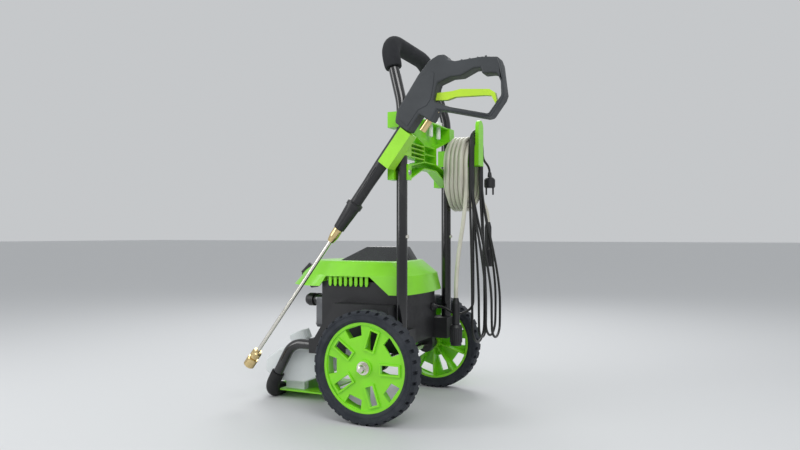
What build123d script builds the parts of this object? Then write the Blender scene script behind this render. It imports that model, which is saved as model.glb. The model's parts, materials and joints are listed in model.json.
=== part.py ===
from build123d import *
import math
import os

# Upright electric pressure washer on two wheels: a hand-truck frame with a motor and pump under
# a moulded cover, a detergent tank in the front foot, and a spray gun, hose and power cord that
# hang from a moulded rack between the handle tubes.
# Millimetres, +Z up, floor at z = 0. +Y is the side of the person who pushes it, +X their left.
# Inside this file the axle stands at y = 0. AXLE_Y moves every piece so that the origin lies on
# the floor under the middle of the machine.

AXLE_Y = 24.5

# Fits
FIT = 0.05            # running clearance on a radius
SEAT = 0.3            # gap left beside a soft or curved neighbour
SLIDE = 0.4           # gap beside a moulded piece that slides or swings

# Wheels
WHEEL_R = 127.0
TYRE_W = 42.0
WHEEL_X = 207.0       # middle plane of each wheel
TYRE_H = 26.0         # height of the tyre's section
RIM_R = WHEEL_R - TYRE_H
RIM_WALL = 6.0
RIM_WEB = 5.0
RIM_RECESS = 9.0      # how far the face of the rim lies inside the tyre's face
HUB_R = 19.0
HUB_INNER = 4.0       # how far the hub sticks out on the inner side
SPOKES = 5
WHEEL_SET = -18.0     # turn at which the wheels stand, so that one slot points back
RIB_T = 3.5
SLOT_W = 19.0
SLOT_IN = RIM_R - 59
SLOT_OUT = RIM_R - 16
PORT_IN = RIM_R - 31
PORT_OUT = RIM_R - 9
PORT_DEG = 26.0
LIP = 4.0             # border raised round each slot
TREAD_COUNT = 34
TREAD_GAP = 8.0
TREAD_DEEP = 5.5
TREAD_REACH = 14.0
SHOULDER = 5.0
AXLE_R = 8.0
WASHER_R = 15.0
WASHER_T = 2.0
NUT_R = 12.0
NUT_H = 9.0

# Base and housing
WALL = 4.0
BASE_X = 150.0        # half width at the wheel covers
BODY_X = 106.0        # half width of the motor bay
BASE_Z = 152.0        # underside
BASE_TOP = 254.0
BASE_FRONT = -187.0
BASE_RAKE = 66.0      # how far the front wall leans back
HOUSING_FRONT = -178.0
COVER_BACK = 25.0     # rear end of the wheel covers
BODY_BACK = 38.0
BODY_TOP = 308.0
GLAND_X = -88.0       # where the mains cord leaves
GLAND_Z = 235.0
GLAND_R = 8.0
GLAND_LEN = 16.0
LUG_X0 = 132.0
LUG_R = 21.0
POD_TOP = 205.0
POD_HALF = 17.0
CRADLE_IN = 24.0      # motor cradles from each end of the motor
CRADLE_X = 46.0
CRADLE_TOP = 190.0

# Cover and hood
COVER_X = 122.0
COVER_TOP_X = 96.0
COVER_LOW = 280.0
COVER_EDGE = 296.0    # lower edge ahead of the bulge
COVER_TOP = 358.0
COVER_SIDE_FRONT = -214.0
COVER_NOSE = 108.0     # how far the rounded nose bulges
COVER_TAIL = 14.0
COVER_SIDE_BACK = 50.0
COVER_LEAN = 81.0     # how far the nose leans back at the top
COVER_DRAW = 44.0     # how far the tail leans forward at the top
COVER_WAIST = 324.0   # height where the sides start to lean more
WAIST_X = 115.0
WAIST_DRAW = 8.0
COVER_WALL = 3.0
VENT_COUNT = 8
VENT_PITCH = 14.4
VENT_W = 8.0
VENT_TOP = 321.0
VENT_FRONT = -156.0
HOOD_H = 35.0
HOOD_X = 62.0
HOOD_TOP_X = 40.0
HOOD_FRONT = -150.0
HOOD_BACK = 8.0
HOOD_SLOPE = 66.0

# Frame tubes
TUBE_R = 12.7
TUBE_WALL = 1.5
UPRIGHT_X = 142.0
UPRIGHT_Y = 57.0
JOINT_Z = 442.0
STUB = 60.0           # length of the handle's end inside the upright
BUTTON_Z = 418.0
BUTTON_R = 5.0
BUTTON_OUT = 4.5
BUTTON_TRAVEL = 5.0
RACK_TOP = 704.0
BEND_Z = RACK_TOP + 20
HANDLE_Z = 882.0      # middle of the cross bar
HANDLE_LEAN = 46.0
HANDLE_DRAW = 18.0    # how far each side draws in
HANDLE_BEND = 120.0
HANDLE_CORNER = 62.0
GRIP_R = 21.0
GRIP_Z = 812.0
FOOT_X = 105.0
FOOT_Z = 147.0
FOOT_KNEE = -266.0
FOOT_FRONT = -340.0
FOOT_BEND = 48.0
FOOT_CORNER = 40.0
SOCKET_FRONT = -206.0
SOCKET_WALL = 5.0
BOOT_T = 4.0
BOOT_SINK = 1.0       # how much of the boot is flattened underneath
BOOT_LEN = 62.0

# Motor and pump, on one shaft along Y
MOTOR_Z = 224.0
MOTOR_R = 62.0
MOTOR_BACK = -2.0
MOTOR_LEN = 112.0
MOTOR_WALL = 3.0
SHAFT_R = 7.0
FAN_R = 54.0
FAN_T = 12.0
FAN_BLADES = 9
ROTOR_R = 36.0
ROTOR_LEN = 52.0
PUMP_R = 54.0
PUMP_LEN = 66.0
PUMP_WALL = 6.0
SWASH_R = 38.0
SWASH_T = 12.0
SWASH_DEG = 6.0
PISTONS = 3
PISTON_R = 7.5
PISTON_PCD = 52.0
PISTON_LEN = 40.0
PISTON_STROKE = 5.5
HEAD_X = 46.0
HEAD_Z = 42.0
HEAD_LEN = 52.0
BOLT_R = 5.0
INLET_R = 13.0
INLET_LEN = 46.0
KNOB_R = 21.0
KNOB_H = 15.0

# Detergent tank
TANK_X = 84.0
TANK_LOW = 44.0
TANK_TOP = 128.0
TANK_WALL = 2.5
CAP_R = 28.0
CAP_H = 20.0
CAP_TILT = 24.0
NECK_R = 22.0
SHELF_T = 4.0
SHELF_Z = 20.0

# Rack between the handle tubes
CLAMP_H = 36.0
CLAMP_FRONT = 16.0    # moulding in front of the tube
CLAMP_WALL = 4.0
RACK_DEPTH = 26.0
RACK_T = 3.0
WEB_X = 40.0
NOTCH_TOP = RACK_TOP - 64
NOTCH_LOW = NOTCH_TOP - 40
WEB_LOW = NOTCH_LOW - 18
RACK_LOW = WEB_LOW - 34
TIP_FIRST = -32.0     # nearest spare nozzle from the middle
TIP_PITCH = 53.0
TIP_R = 6.0
TIP_LEN = 34.0
TIP_HEAD_R = 10.5

# Spray gun in its trough
GUN_TILT = 52.7       # slope of the lance
GUN_Z = RACK_TOP - 77  # height of the trough's middle
GUN_HALF = 18.0
GUN_GAP = 2.0         # room between the rack's clamps and the gun
BARREL_R = 15.0
TROUGH_WALL = 3.0
TROUGH_LOW = -52.0
TROUGH_HIGH = 39.0
RIB_COUNT = 4
LANCE_R = 4.8
LANCE_END = -622.0    # start of the nozzle, along the lance from the trough
TRIGGER_T = 12.0
TRIGGER_DEG = 12.0
VALVE_R = 11.0
COLLAR_TRAVEL = 5.0

# Hook, hose and power cord
HOOK_Z = 603.0
HOOK_TOP = 659.0
HOOK_X = 20.0
HOOK_BACK = 147.0
PADDLE_T = 8.0
PADDLE_TOP = 722.0
HOSE_R = 5.25
HOSE_TURNS = 5
HOSE_STEP = 10.95
HOSE_LAYER = 11.2
HOSE_LOOP_R = 62.0
HOSE_LOOP_RUN = 40.0
CORD_R = 3.1
CORD_TURNS = 5
CORD_LAYER = 6.8
CORD_LOOP_R = 27.0
PLUG_R = 15.0

os.makedirs("parts", exist_ok=True)


# Shared helpers

def node(name, *shapes):
    """Writes one named piece, or a group of like pieces, moved to the machine's own frame."""
    solids = [solid for shape in shapes for solid in shape.solids()]
    moved = [Pos(0, AXLE_Y, 0) * solid for solid in solids]
    export_step(moved[0] if len(moved) == 1 else Compound(children=moved), f"parts/{name}.step")


def block(x0, x1, y0, y1, z0, z1):
    """Box from corner to corner."""
    size = (x1 - x0, y1 - y0, z1 - z0)
    return Pos((x0 + x1) / 2, (y0 + y1) / 2, (z0 + z1) / 2) * Box(*size)


def rod(start, end, radius):
    """Round bar between two points."""
    run = Vector(*end) - Vector(*start)
    bar = Cylinder(radius, run.length, align=(Align.CENTER, Align.CENTER, Align.MIN))
    return Plane(origin=start, z_dir=run) * bar


def side_prism(points, x0, x1):
    """Outline in Y and Z carried across X."""
    face = Plane.YZ.offset(x0) * make_face(Polyline(*points, close=True))
    return extrude(face, amount=x1 - x0, dir=(1, 0, 0))


def front_prism(points, y0, y1):
    """Outline in X and Z carried along Y."""
    face = Plane.XZ.offset(-y0) * make_face(Polyline(*points, close=True))
    return extrude(face, amount=y1 - y0, dir=(0, 1, 0))


def turned(profile, origin, axis):
    """Turned piece; the profile is radius and distance along the axis."""
    face = Plane.XZ * make_face(Polyline(*profile, close=True))
    return Plane(origin=origin, z_dir=axis) * revolve(face, Axis.Z)


def swept(path, radius, bore=0.0):
    """Round bar or tube along a path."""
    section = Circle(radius) - Circle(bore) if bore else Circle(radius)
    return sweep(Plane(origin=path @ 0, z_dir=path % 0) * section, path=path)


def both_sides(shape):
    """A piece and its mirror image across the middle plane."""
    return [shape, mirror(shape, about=Plane.YZ)]


# Wheels and axle, built for the +X side

WHEEL_IN = WHEEL_X - TYRE_W / 2
WHEEL_OUT = WHEEL_X + TYRE_W / 2
RIM_FACE = WHEEL_OUT - RIM_RECESS
HUB_END = RIM_FACE + LIP
AXLE_POINT = (0, 0, WHEEL_R)


def about_axle(profile):
    """Ring round the axle; the profile is radius and x."""
    return turned(profile, AXLE_POINT, (1, 0, 0))


def around(shape, count, start=0.0):
    """Copies of a shape set evenly round the axle."""
    turn = 360 / count
    axle = Pos(*AXLE_POINT)
    return [axle * Rot(start + turn * i, 0, 0) * shape for i in range(count)]


def wheel_tyre():
    """Hollow-bead tyre with chunky shoulder blocks on both sides and a groove round the crown."""
    seat = RIM_R + FIT
    profile = [(seat, WHEEL_IN + SHOULDER), (seat, WHEEL_OUT - SHOULDER),
               (seat + SHOULDER, WHEEL_OUT), (WHEEL_R - SHOULDER, WHEEL_OUT),
               (WHEEL_R, WHEEL_OUT - SHOULDER), (WHEEL_R, WHEEL_IN + SHOULDER),
               (WHEEL_R - SHOULDER, WHEEL_IN), (seat + SHOULDER, WHEEL_IN)]
    notch_z = (WHEEL_R - TREAD_DEEP, WHEEL_R + TREAD_DEEP)
    half = TREAD_GAP / 2
    inner = block(WHEEL_IN - 1, WHEEL_IN + TREAD_REACH, -half, half, *notch_z)
    outer = block(WHEEL_OUT - TREAD_REACH, WHEEL_OUT + 1, -half, half, *notch_z)
    cuts = around(inner, TREAD_COUNT)
    cuts += around(outer, TREAD_COUNT, 180 / TREAD_COUNT)
    return about_axle(profile) - cuts


def wheel_rim():
    """Moulded rim: barrel, webbed face, slots in the wide spokes and ports beside the barrel."""
    barrel_in = RIM_R - RIM_WALL
    web_in = RIM_FACE - RIM_WEB
    bead = SHOULDER + 1
    barrel = about_axle([(barrel_in, WHEEL_IN + bead), (RIM_R, WHEEL_IN + bead),
                         (RIM_R, WHEEL_OUT - bead), (barrel_in, WHEEL_OUT - bead)])
    web = about_axle([(HUB_R - 1, web_in), (barrel_in + 1, web_in),
                      (barrel_in + 1, RIM_FACE), (HUB_R - 1, RIM_FACE)])
    bore = AXLE_R + FIT
    hub = about_axle([(bore, WHEEL_IN - HUB_INNER), (HUB_R, WHEEL_IN - HUB_INNER),
                      (HUB_R, HUB_END), (bore, HUB_END)])
    rib = block(WHEEL_IN + bead, web_in + 1, -RIB_T / 2, RIB_T / 2, HUB_R - 1, barrel_in + 1)
    slot_z = (SLOT_IN, SLOT_OUT)
    half = SLOT_W / 2
    slot = block(web_in - 1, RIM_FACE + LIP + 1, -half, half, *slot_z)
    lip = block(web_in + 1, RIM_FACE + LIP, -half - LIP, half + LIP, SLOT_IN - LIP, SLOT_OUT + LIP)
    span = math.radians(PORT_DEG / 2)
    port = side_prism([(-PORT_IN * math.tan(span), PORT_IN), (PORT_IN * math.tan(span), PORT_IN),
                       (PORT_OUT * math.tan(span), PORT_OUT), (-PORT_OUT * math.tan(span), PORT_OUT)],
                      web_in - 1, RIM_FACE + 1)
    half_turn = 180 / SPOKES
    solid = barrel + web + hub + around(rib, 2 * SPOKES, WHEEL_SET + half_turn / 2)
    solid += around(lip, SPOKES, WHEEL_SET)
    return solid - around(slot, SPOKES, WHEEL_SET) - around(port, SPOKES, WHEEL_SET + half_turn)


WASHER_X = HUB_END + SEAT
NUT_X = WASHER_X + WASHER_T


def axle_nut():
    """Washer and domed hexagon nut on the end of the axle."""
    washer = about_axle([(AXLE_R, WASHER_X), (WASHER_R, WASHER_X), (WASHER_R, NUT_X), (AXLE_R, NUT_X)])
    hexagon = Plane(origin=(NUT_X, 0, WHEEL_R), z_dir=(1, 0, 0)) * RegularPolygon(NUT_R, 6)
    dome = turned([(0, 0), (NUT_R * 0.82, 0), (NUT_R * 0.6, NUT_R * 0.4), (0, NUT_R * 0.55)],
                  (NUT_X + NUT_H, 0, WHEEL_R), (1, 0, 0))
    return washer + extrude(hexagon, amount=NUT_H) + dome - rod((0, 0, WHEEL_R),
                                                                (NUT_X + NUT_H, 0, WHEEL_R), AXLE_R)


tyres = both_sides(wheel_tyre())
rims = both_sides(wheel_rim())
for side, tyre, rim in zip(("left", "right"), tyres, rims):
    node(f"wheel_tyre_{side}", tyre)
    node(f"wheel_rim_{side}", rim)
axle_end = NUT_X + NUT_H
node("axle", rod((-axle_end, 0, WHEEL_R), (axle_end, 0, WHEEL_R), AXLE_R))
node("axle_nuts", *both_sides(axle_nut()))


# Base tray, with sockets for the tubes and lugs for the axle

def upright_axis(z):
    return (UPRIGHT_X, UPRIGHT_Y, z)


def base_outline(grow):
    """Side view of the tray, shrunk by a wall; the top stays open."""
    low = BASE_Z + grow
    top = BASE_TOP + (1 if grow else 0)
    front = BASE_FRONT + grow
    return [(front, low), (front + BASE_RAKE, top), (COVER_BACK - grow, top), (COVER_BACK - grow, low)]


PUMP_FRONT = MOTOR_BACK - MOTOR_LEN - PUMP_LEN


def base_tray():
    wide = side_prism(base_outline(0), -BASE_X, BASE_X)
    wide -= side_prism(base_outline(WALL), -BASE_X + WALL, BASE_X - WALL)
    rear = block(-BODY_X, BODY_X, COVER_BACK - WALL, BODY_BACK, BASE_Z + WALL, BASE_TOP)
    rear -= block(-BODY_X + WALL, BODY_X - WALL, COVER_BACK - 2 * WALL, BODY_BACK - WALL,
                  BASE_Z + 2 * WALL, BASE_TOP + 1)
    step = BASE_FRONT + BASE_RAKE + WALL
    tray = wide + rear + block(-BODY_X, BODY_X, HOUSING_FRONT, step, BASE_Z, BASE_TOP)
    tray -= block(-BODY_X + WALL, BODY_X - WALL, HOUSING_FRONT + WALL, step + WALL, BASE_Z + WALL,
                  BASE_TOP + 1)
    tray -= block(-BODY_X + WALL, BODY_X - WALL, COVER_BACK - 2 * WALL, BODY_BACK - WALL,
                  BASE_Z + 2 * WALL, BASE_TOP + 1)
    pod = block(BODY_X - WALL, UPRIGHT_X + POD_HALF, COVER_BACK - WALL, UPRIGHT_Y + POD_HALF,
                BASE_Z, POD_TOP)
    lug = block(LUG_X0, BASE_X, -LUG_R, LUG_R, WHEEL_R, BASE_Z + WALL)
    spacer_end = WHEEL_IN - HUB_INNER - SEAT
    lug += rod((LUG_X0, 0, WHEEL_R), (BASE_X, 0, WHEEL_R), LUG_R)
    lug += rod((LUG_X0, 0, WHEEL_R), (spacer_end, 0, WHEEL_R), HUB_R - LIP)
    reach = TUBE_R + SOCKET_WALL
    socket = block(FOOT_X - reach, FOOT_X + reach, SOCKET_FRONT, BASE_FRONT + 2 * WALL,
                   FOOT_Z - reach, FOOT_Z + reach)
    socket += block(FOOT_X - reach, FOOT_X + reach, BASE_FRONT, BASE_FRONT + BASE_RAKE,
                    FOOT_Z - reach, BASE_Z + WALL)
    for piece in (pod, lug, socket):
        tray += both_sides(piece)
    holes = [rod(upright_axis(BASE_Z + WALL), upright_axis(POD_TOP + 1), TUBE_R + FIT),
             rod((FOOT_X, BASE_FRONT + WALL, FOOT_Z), (FOOT_X, SOCKET_FRONT - 1, FOOT_Z), TUBE_R + FIT)]
    for hole in holes:
        tray -= both_sides(hole)
    tray -= rod((-BASE_X - TYRE_W, 0, WHEEL_R), (BASE_X + TYRE_W, 0, WHEEL_R), AXLE_R + FIT)
    for y in (MOTOR_BACK - CRADLE_IN, MOTOR_BACK - MOTOR_LEN + CRADLE_IN):
        tray += block(-CRADLE_X, CRADLE_X, y - WALL, y + WALL, BASE_Z + WALL / 2, CRADLE_TOP)
    tray -= rod((0, MOTOR_BACK + WALL, MOTOR_Z), (0, MOTOR_BACK - MOTOR_LEN - WALL, MOTOR_Z), MOTOR_R + FIT)
    mouth = rod((0, SOCKET_FRONT, MOTOR_Z), (0, MOTOR_BACK - MOTOR_LEN, MOTOR_Z), PUMP_R + SEAT)
    gland = rod((GLAND_X, BODY_BACK - 2 * WALL, GLAND_Z), (GLAND_X, BODY_BACK + 1, GLAND_Z), GLAND_R + FIT)
    return tray - mouth - gland


node("base_tray", base_tray())


# Motor housing, cover and hood

def motor_housing():
    """Black band between the tray and the cover, with a skirt that closes the wheel covers."""
    front = BASE_FRONT + BASE_RAKE
    band = block(-BODY_X, BODY_X, HOUSING_FRONT, BODY_BACK, BASE_TOP, BODY_TOP)
    band -= block(-BODY_X + WALL, BODY_X - WALL, HOUSING_FRONT + WALL, BODY_BACK - WALL, BASE_TOP - 1,
                  BODY_TOP + 1)
    skirt = block(-BASE_X, BASE_X, front, COVER_BACK, BASE_TOP, BASE_TOP + WALL)
    skirt -= block(-BODY_X + WALL, BODY_X - WALL, HOUSING_FRONT, COVER_BACK + 1, BASE_TOP - 1,
                   BASE_TOP + WALL + 1)
    mouth = rod((0, SOCKET_FRONT, MOTOR_Z), (0, MOTOR_BACK - MOTOR_LEN, MOTOR_Z), PUMP_R + SEAT)
    return band + skirt - mouth


node("motor_housing", motor_housing())


def cover_outline(half, draw, z, wall):
    """Plan of the cover at one height: straight sides, a round nose and a flatter tail."""
    x = half - wall
    front = COVER_SIDE_FRONT + COVER_LEAN * (z - COVER_LOW) / (COVER_TOP - COVER_LOW) + wall
    back = COVER_SIDE_BACK - draw - wall
    nose = ThreePointArc((-x, front, z), (0, front - COVER_NOSE, z), (x, front, z))
    left = Line((x, front, z), (x, back, z))
    tail = ThreePointArc((x, back, z), (0, back + COVER_TAIL, z), (-x, back, z))
    right = Line((-x, back, z), (-x, front, z))
    return make_face([nose, left, tail, right])


LEDGES = [-177.0, -18.0, 20.0]


def cover_form(top, wall):
    """Solid form of the cover, leaning in more above its waist."""
    return loft([cover_outline(COVER_X, 0, COVER_LOW, wall),
                 cover_outline(WAIST_X, WAIST_DRAW, COVER_WAIST, wall),
                 cover_outline(COVER_TOP_X, COVER_DRAW, top, wall)], ruled=True)


def cover_shell():
    """Thin lofted shell with set-back teeth over the vents, held up by ledges on the housing's edge."""
    outer = cover_form(COVER_TOP, 0)
    outer = fillet(outer.faces().sort_by(Axis.Z)[-1].edges(), 3 * COVER_WALL)
    inner = cover_form(COVER_TOP - COVER_WALL, COVER_WALL)
    vent_end = VENT_FRONT + VENT_COUNT * VENT_PITCH
    below = side_prism([(-400, COVER_LOW - 10), (-400, COVER_EDGE), (VENT_FRONT - 22, COVER_EDGE),
                        (VENT_FRONT - 6, VENT_TOP), (vent_end, VENT_TOP), (vent_end + 54, COVER_LOW),
                        (200, COVER_LOW), (200, COVER_LOW - 10)], -200, 200)
    shell = outer - inner - below
    teeth = []
    root = COVER_WAIST + COVER_WALL
    tip = COVER_EDGE + 1
    for index in range(VENT_COUNT):
        y = VENT_FRONT + VENT_PITCH * index
        tooth = side_prism([(y, root), (y + VENT_W, root), (y + VENT_W, tip + 5), (y + VENT_W - 2, tip),
                            (y + 2, tip), (y, tip + 5)], WAIST_X - 2 * COVER_WALL - 0.5,
                            WAIST_X - COVER_WALL - 0.5)
        teeth += both_sides(tooth)
    ledges = []
    for y in LEDGES:
        ledge = block(BODY_X - 2 * WALL, COVER_X, y, y + 2 * WALL, BODY_TOP, BODY_TOP + 2 * WALL) & outer
        ledges += both_sides(ledge)
    return shell + teeth + ledges


def nose_point(along):
    """Point on the middle line of the cover's nose, and the way that it faces."""
    low = Vector(0, COVER_SIDE_FRONT - COVER_NOSE, COVER_LOW)
    high = Vector(0, COVER_SIDE_FRONT - COVER_NOSE + COVER_LEAN, COVER_TOP)
    rise = high - low
    face = Vector(0, -rise.Z, rise.Y).normalized()
    return low + rise * along, face


KNOB_AT, KNOB_AXIS = nose_point(0.52)
BOSS_H = 5.0
SPINDLE_R = 4.0


def along_knob(distance):
    return tuple(KNOB_AT + KNOB_AXIS * distance)


def top_cover():
    """Cover with a boss on its nose for the switch."""
    boss = rod(along_knob(-7 * COVER_WALL), along_knob(BOSS_H), KNOB_R + COVER_WALL)
    return cover_shell() + boss - rod(along_knob(-60), along_knob(BOSS_H + 1), SPINDLE_R + FIT)


node("top_cover", top_cover())


def top_hood():
    """Raised black hood, faceted, on the flat of the cover."""
    middle = (HOOD_FRONT + HOOD_BACK) / 2
    low = Pos(0, middle, COVER_TOP) * Rectangle(2 * HOOD_X, HOOD_BACK - HOOD_FRONT)
    top_front = HOOD_FRONT + HOOD_SLOPE
    top_back = HOOD_BACK - HOOD_SLOPE / 5
    high = Pos(0, (top_front + top_back) / 2, COVER_TOP + HOOD_H) * Rectangle(2 * HOOD_TOP_X,
                                                                              top_back - top_front)
    hood = loft([low, high], ruled=True)
    hood = fillet(hood.faces().sort_by(Axis.Z)[-1].edges(), 2 * COVER_WALL)
    cavity = loft([Pos(0, middle, COVER_TOP) * Rectangle(2 * HOOD_X - 4 * WALL,
                                                         HOOD_BACK - HOOD_FRONT - 4 * WALL),
                   Pos(0, (top_front + top_back) / 2, COVER_TOP + HOOD_H - 2 * WALL)
                   * Rectangle(2 * HOOD_TOP_X - 4 * WALL, top_back - top_front - 4 * WALL)], ruled=True)
    return hood - cavity


node("top_hood", top_hood())


# Frame tubes, handle and foot

STUB_R = TUBE_R - TUBE_WALL - FIT
STUB_BORE = STUB_R - TUBE_WALL
COLLAR_H = 6.0
FLANGE_R = 6.0
FLANGE_T = 1.5


def pipe(start, end, radius, bore):
    return rod(start, end, radius) - rod(start, end, bore)


def button_hole(x):
    """Round hole for a snap button, through the back of the tubes."""
    return rod((x, UPRIGHT_Y, BUTTON_Z), (x, UPRIGHT_Y + 2 * TUBE_R, BUTTON_Z), BUTTON_R + FIT)


def upright():
    tube = pipe(upright_axis(BASE_Z + WALL), upright_axis(JOINT_Z), TUBE_R, TUBE_R - TUBE_WALL)
    return tube - button_hole(UPRIGHT_X)


def snap_button():
    """Domed button that stands out of the back of the upright, with a flange inside the stub."""
    flange_y = math.sqrt(STUB_BORE ** 2 - FLANGE_R ** 2) - FIT
    tip = TUBE_R + BUTTON_OUT
    profile = [(0, flange_y - FLANGE_T), (FLANGE_R, flange_y - FLANGE_T), (FLANGE_R, flange_y),
               (BUTTON_R, flange_y), (BUTTON_R, tip - BUTTON_R / 2), (BUTTON_R * 0.7, tip - BUTTON_R / 6),
               (0, tip)]
    return turned(profile, upright_axis(BUTTON_Z), (0, 1, 0))


def mirrored(point):
    return (-point[0], point[1], point[2])


HANDLE_TOP = (UPRIGHT_X - HANDLE_DRAW, UPRIGHT_Y - HANDLE_LEAN, HANDLE_Z)
HANDLE_LOW = upright_axis(JOINT_Z + COLLAR_H)
HANDLE_KNEE = upright_axis(BEND_Z)


def handle_tube():
    half = [HANDLE_LOW, HANDLE_KNEE, HANDLE_TOP]
    points = half + [mirrored(point) for point in reversed(half)]
    radii = [HANDLE_BEND, HANDLE_CORNER, HANDLE_CORNER, HANDLE_BEND]
    tube = swept(FilletPolyline(*points, radius=radii), TUBE_R, TUBE_R - TUBE_WALL)
    stub = pipe(upright_axis(JOINT_Z - STUB), HANDLE_LOW, STUB_R, STUB_BORE)
    collar = pipe(upright_axis(JOINT_Z), HANDLE_LOW, TUBE_R, STUB_BORE)
    end = stub + collar - button_hole(UPRIGHT_X)
    return tube + both_sides(end)


def handle_grip():
    """Foam sleeve round the top of the handle."""
    share = (GRIP_Z - BEND_Z) / (HANDLE_Z - BEND_Z)
    low = Vector(*HANDLE_KNEE) + (Vector(*HANDLE_TOP) - Vector(*HANDLE_KNEE)) * share
    half = [tuple(low), HANDLE_TOP]
    points = half + [mirrored(point) for point in reversed(half)]
    path = FilletPolyline(*points, radius=[HANDLE_CORNER, HANDLE_CORNER])
    return swept(path, GRIP_R, TUBE_R + FIT)


FOOT_LOW = TUBE_R + BOOT_T - BOOT_SINK
FOOT_START = (FOOT_X, BASE_FRONT + WALL, FOOT_Z)
FOOT_BENDS = (FOOT_X, FOOT_KNEE, FOOT_Z)
FOOT_CORNERS = (FOOT_X, FOOT_FRONT, FOOT_LOW)


def foot_tube():
    half = [FOOT_START, FOOT_BENDS, FOOT_CORNERS]
    points = half + [mirrored(point) for point in reversed(half)]
    radii = [FOOT_BEND, FOOT_CORNER, FOOT_CORNER, FOOT_BEND]
    return swept(FilletPolyline(*points, radius=radii), TUBE_R, TUBE_R - TUBE_WALL)


def foot_boot():
    """Rubber boot round a lower corner of the foot, flat underneath."""
    leg = Vector(*FOOT_BENDS) - Vector(*FOOT_CORNERS)
    up = Vector(*FOOT_CORNERS) + leg.normalized() * BOOT_LEN
    inward = (FOOT_X - BOOT_LEN, FOOT_FRONT, FOOT_LOW)
    path = FilletPolyline(tuple(up), FOOT_CORNERS, inward, radius=FOOT_CORNER)
    boot = swept(path, TUBE_R + BOOT_T, TUBE_R + FIT)
    return boot - block(-BASE_X, BASE_X, FOOT_FRONT - BASE_X, 0, -BASE_X, 0)


for side, tube, button in zip(("left", "right"), both_sides(upright()), both_sides(snap_button())):
    node(f"upright_{side}", tube)
    node(f"snap_button_{side}", button)
node("handle_tube", handle_tube())
node("handle_grip", handle_grip())
node("foot_tube", foot_tube())
node("foot_boots", *both_sides(foot_boot()))


# Motor and pump

MOTOR_FRONT = MOTOR_BACK - MOTOR_LEN
HEAD_BACK = MOTOR_FRONT - PUMP_LEN
HEAD_FRONT = HEAD_BACK - HEAD_LEN
SWASH_Y = HEAD_BACK + PUMP_LEN / 2
SWASH_RISE = math.tan(math.radians(SWASH_DEG))


def on_shaft(y):
    return (0, y, MOTOR_Z)


def motor_can():
    """Motor can with end plates and a thick stator ring inside."""
    can = rod(on_shaft(MOTOR_BACK), on_shaft(MOTOR_FRONT), MOTOR_R)
    bore = rod(on_shaft(MOTOR_BACK - MOTOR_WALL), on_shaft(MOTOR_FRONT + MOTOR_WALL), MOTOR_R - MOTOR_WALL)
    middle = (MOTOR_BACK + MOTOR_FRONT) / 2
    stator = pipe(on_shaft(middle - ROTOR_LEN / 2), on_shaft(middle + ROTOR_LEN / 2),
                  MOTOR_R - MOTOR_WALL / 2, ROTOR_R + 1)
    shaft = rod(on_shaft(MOTOR_BACK + 1), on_shaft(MOTOR_FRONT - 1), SHAFT_R + FIT)
    return can - bore + stator - shaft


def motor_rotor():
    middle = (MOTOR_BACK + MOTOR_FRONT) / 2
    shaft = rod(on_shaft(MOTOR_BACK + FAN_T + 2 * MOTOR_WALL), on_shaft(SWASH_Y), SHAFT_R)
    return shaft + rod(on_shaft(middle - ROTOR_LEN / 2), on_shaft(middle + ROTOR_LEN / 2), ROTOR_R)


def motor_fan():
    """Cooling fan with straight blades on the back end of the shaft."""
    start = MOTOR_BACK + MOTOR_WALL
    hub = rod(on_shaft(start), on_shaft(start + FAN_T), 2 * SHAFT_R)
    plate = rod(on_shaft(start), on_shaft(start + MOTOR_WALL), FAN_R)
    blade = block(-1, 1, start, start + FAN_T, SHAFT_R + MOTOR_WALL, FAN_R)
    blades = [Pos(*on_shaft(0)) * Rot(0, 360 / FAN_BLADES * i, 0) * blade for i in range(FAN_BLADES)]
    return hub + plate + blades - rod(on_shaft(start - 1), on_shaft(start + FAN_T + 1), SHAFT_R + FIT)


def swash_plate():
    """Slanted plate on the front end of the shaft, which pushes the pistons."""
    plate = rod(on_shaft(SWASH_Y - SWASH_T / 2), on_shaft(SWASH_Y + SWASH_T), SWASH_R)
    rise = SWASH_R * SWASH_RISE
    wedge = side_prism([(SWASH_Y - SWASH_T, MOTOR_Z - 2 * SWASH_R),
                        (SWASH_Y - 2 * rise, MOTOR_Z - 2 * SWASH_R),
                        (SWASH_Y + 2 * rise, MOTOR_Z + 2 * SWASH_R),
                        (SWASH_Y - SWASH_T, MOTOR_Z + 2 * SWASH_R)],
                       -SWASH_R, SWASH_R)
    return plate - wedge - rod(on_shaft(SWASH_Y), on_shaft(SWASH_Y + 2 * SWASH_T), SHAFT_R + FIT)


def pump_housing():
    body = rod(on_shaft(MOTOR_FRONT), on_shaft(HEAD_BACK), PUMP_R)
    room = rod(on_shaft(MOTOR_FRONT - PUMP_WALL), on_shaft(HEAD_BACK + PUMP_WALL), PUMP_R - PUMP_WALL)
    shaft = rod(on_shaft(MOTOR_FRONT + 1), on_shaft(SWASH_Y), SHAFT_R + FIT)
    return body - room - shaft - [piston(i, PISTON_R + FIT, PISTON_STROKE + 1) for i in range(PISTONS)]


def piston(index, radius, room=0.0):
    """Round piston parallel to the shaft, just clear of the slanted plate's highest point."""
    angle = math.radians(90 + 360 / PISTONS * index)
    x = PISTON_PCD / 2 * math.cos(angle)
    z = MOTOR_Z + PISTON_PCD / 2 * math.sin(angle)
    back = SWASH_Y - (PISTON_PCD / 2 + PISTON_R) * SWASH_RISE - SEAT
    return rod((x, back, z), (x, back - PISTON_LEN - room, z), radius)


INLET_X = 14.0
INLET_UP = 27.0
OUTLET_X = -28.0
FITTING_SINK = 12.0


def front_fitting(x, z, profile):
    """Turned fitting screwed into the front of the pump head."""
    return turned(profile, (x, HEAD_FRONT, z), (0, -1, 0))


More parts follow.
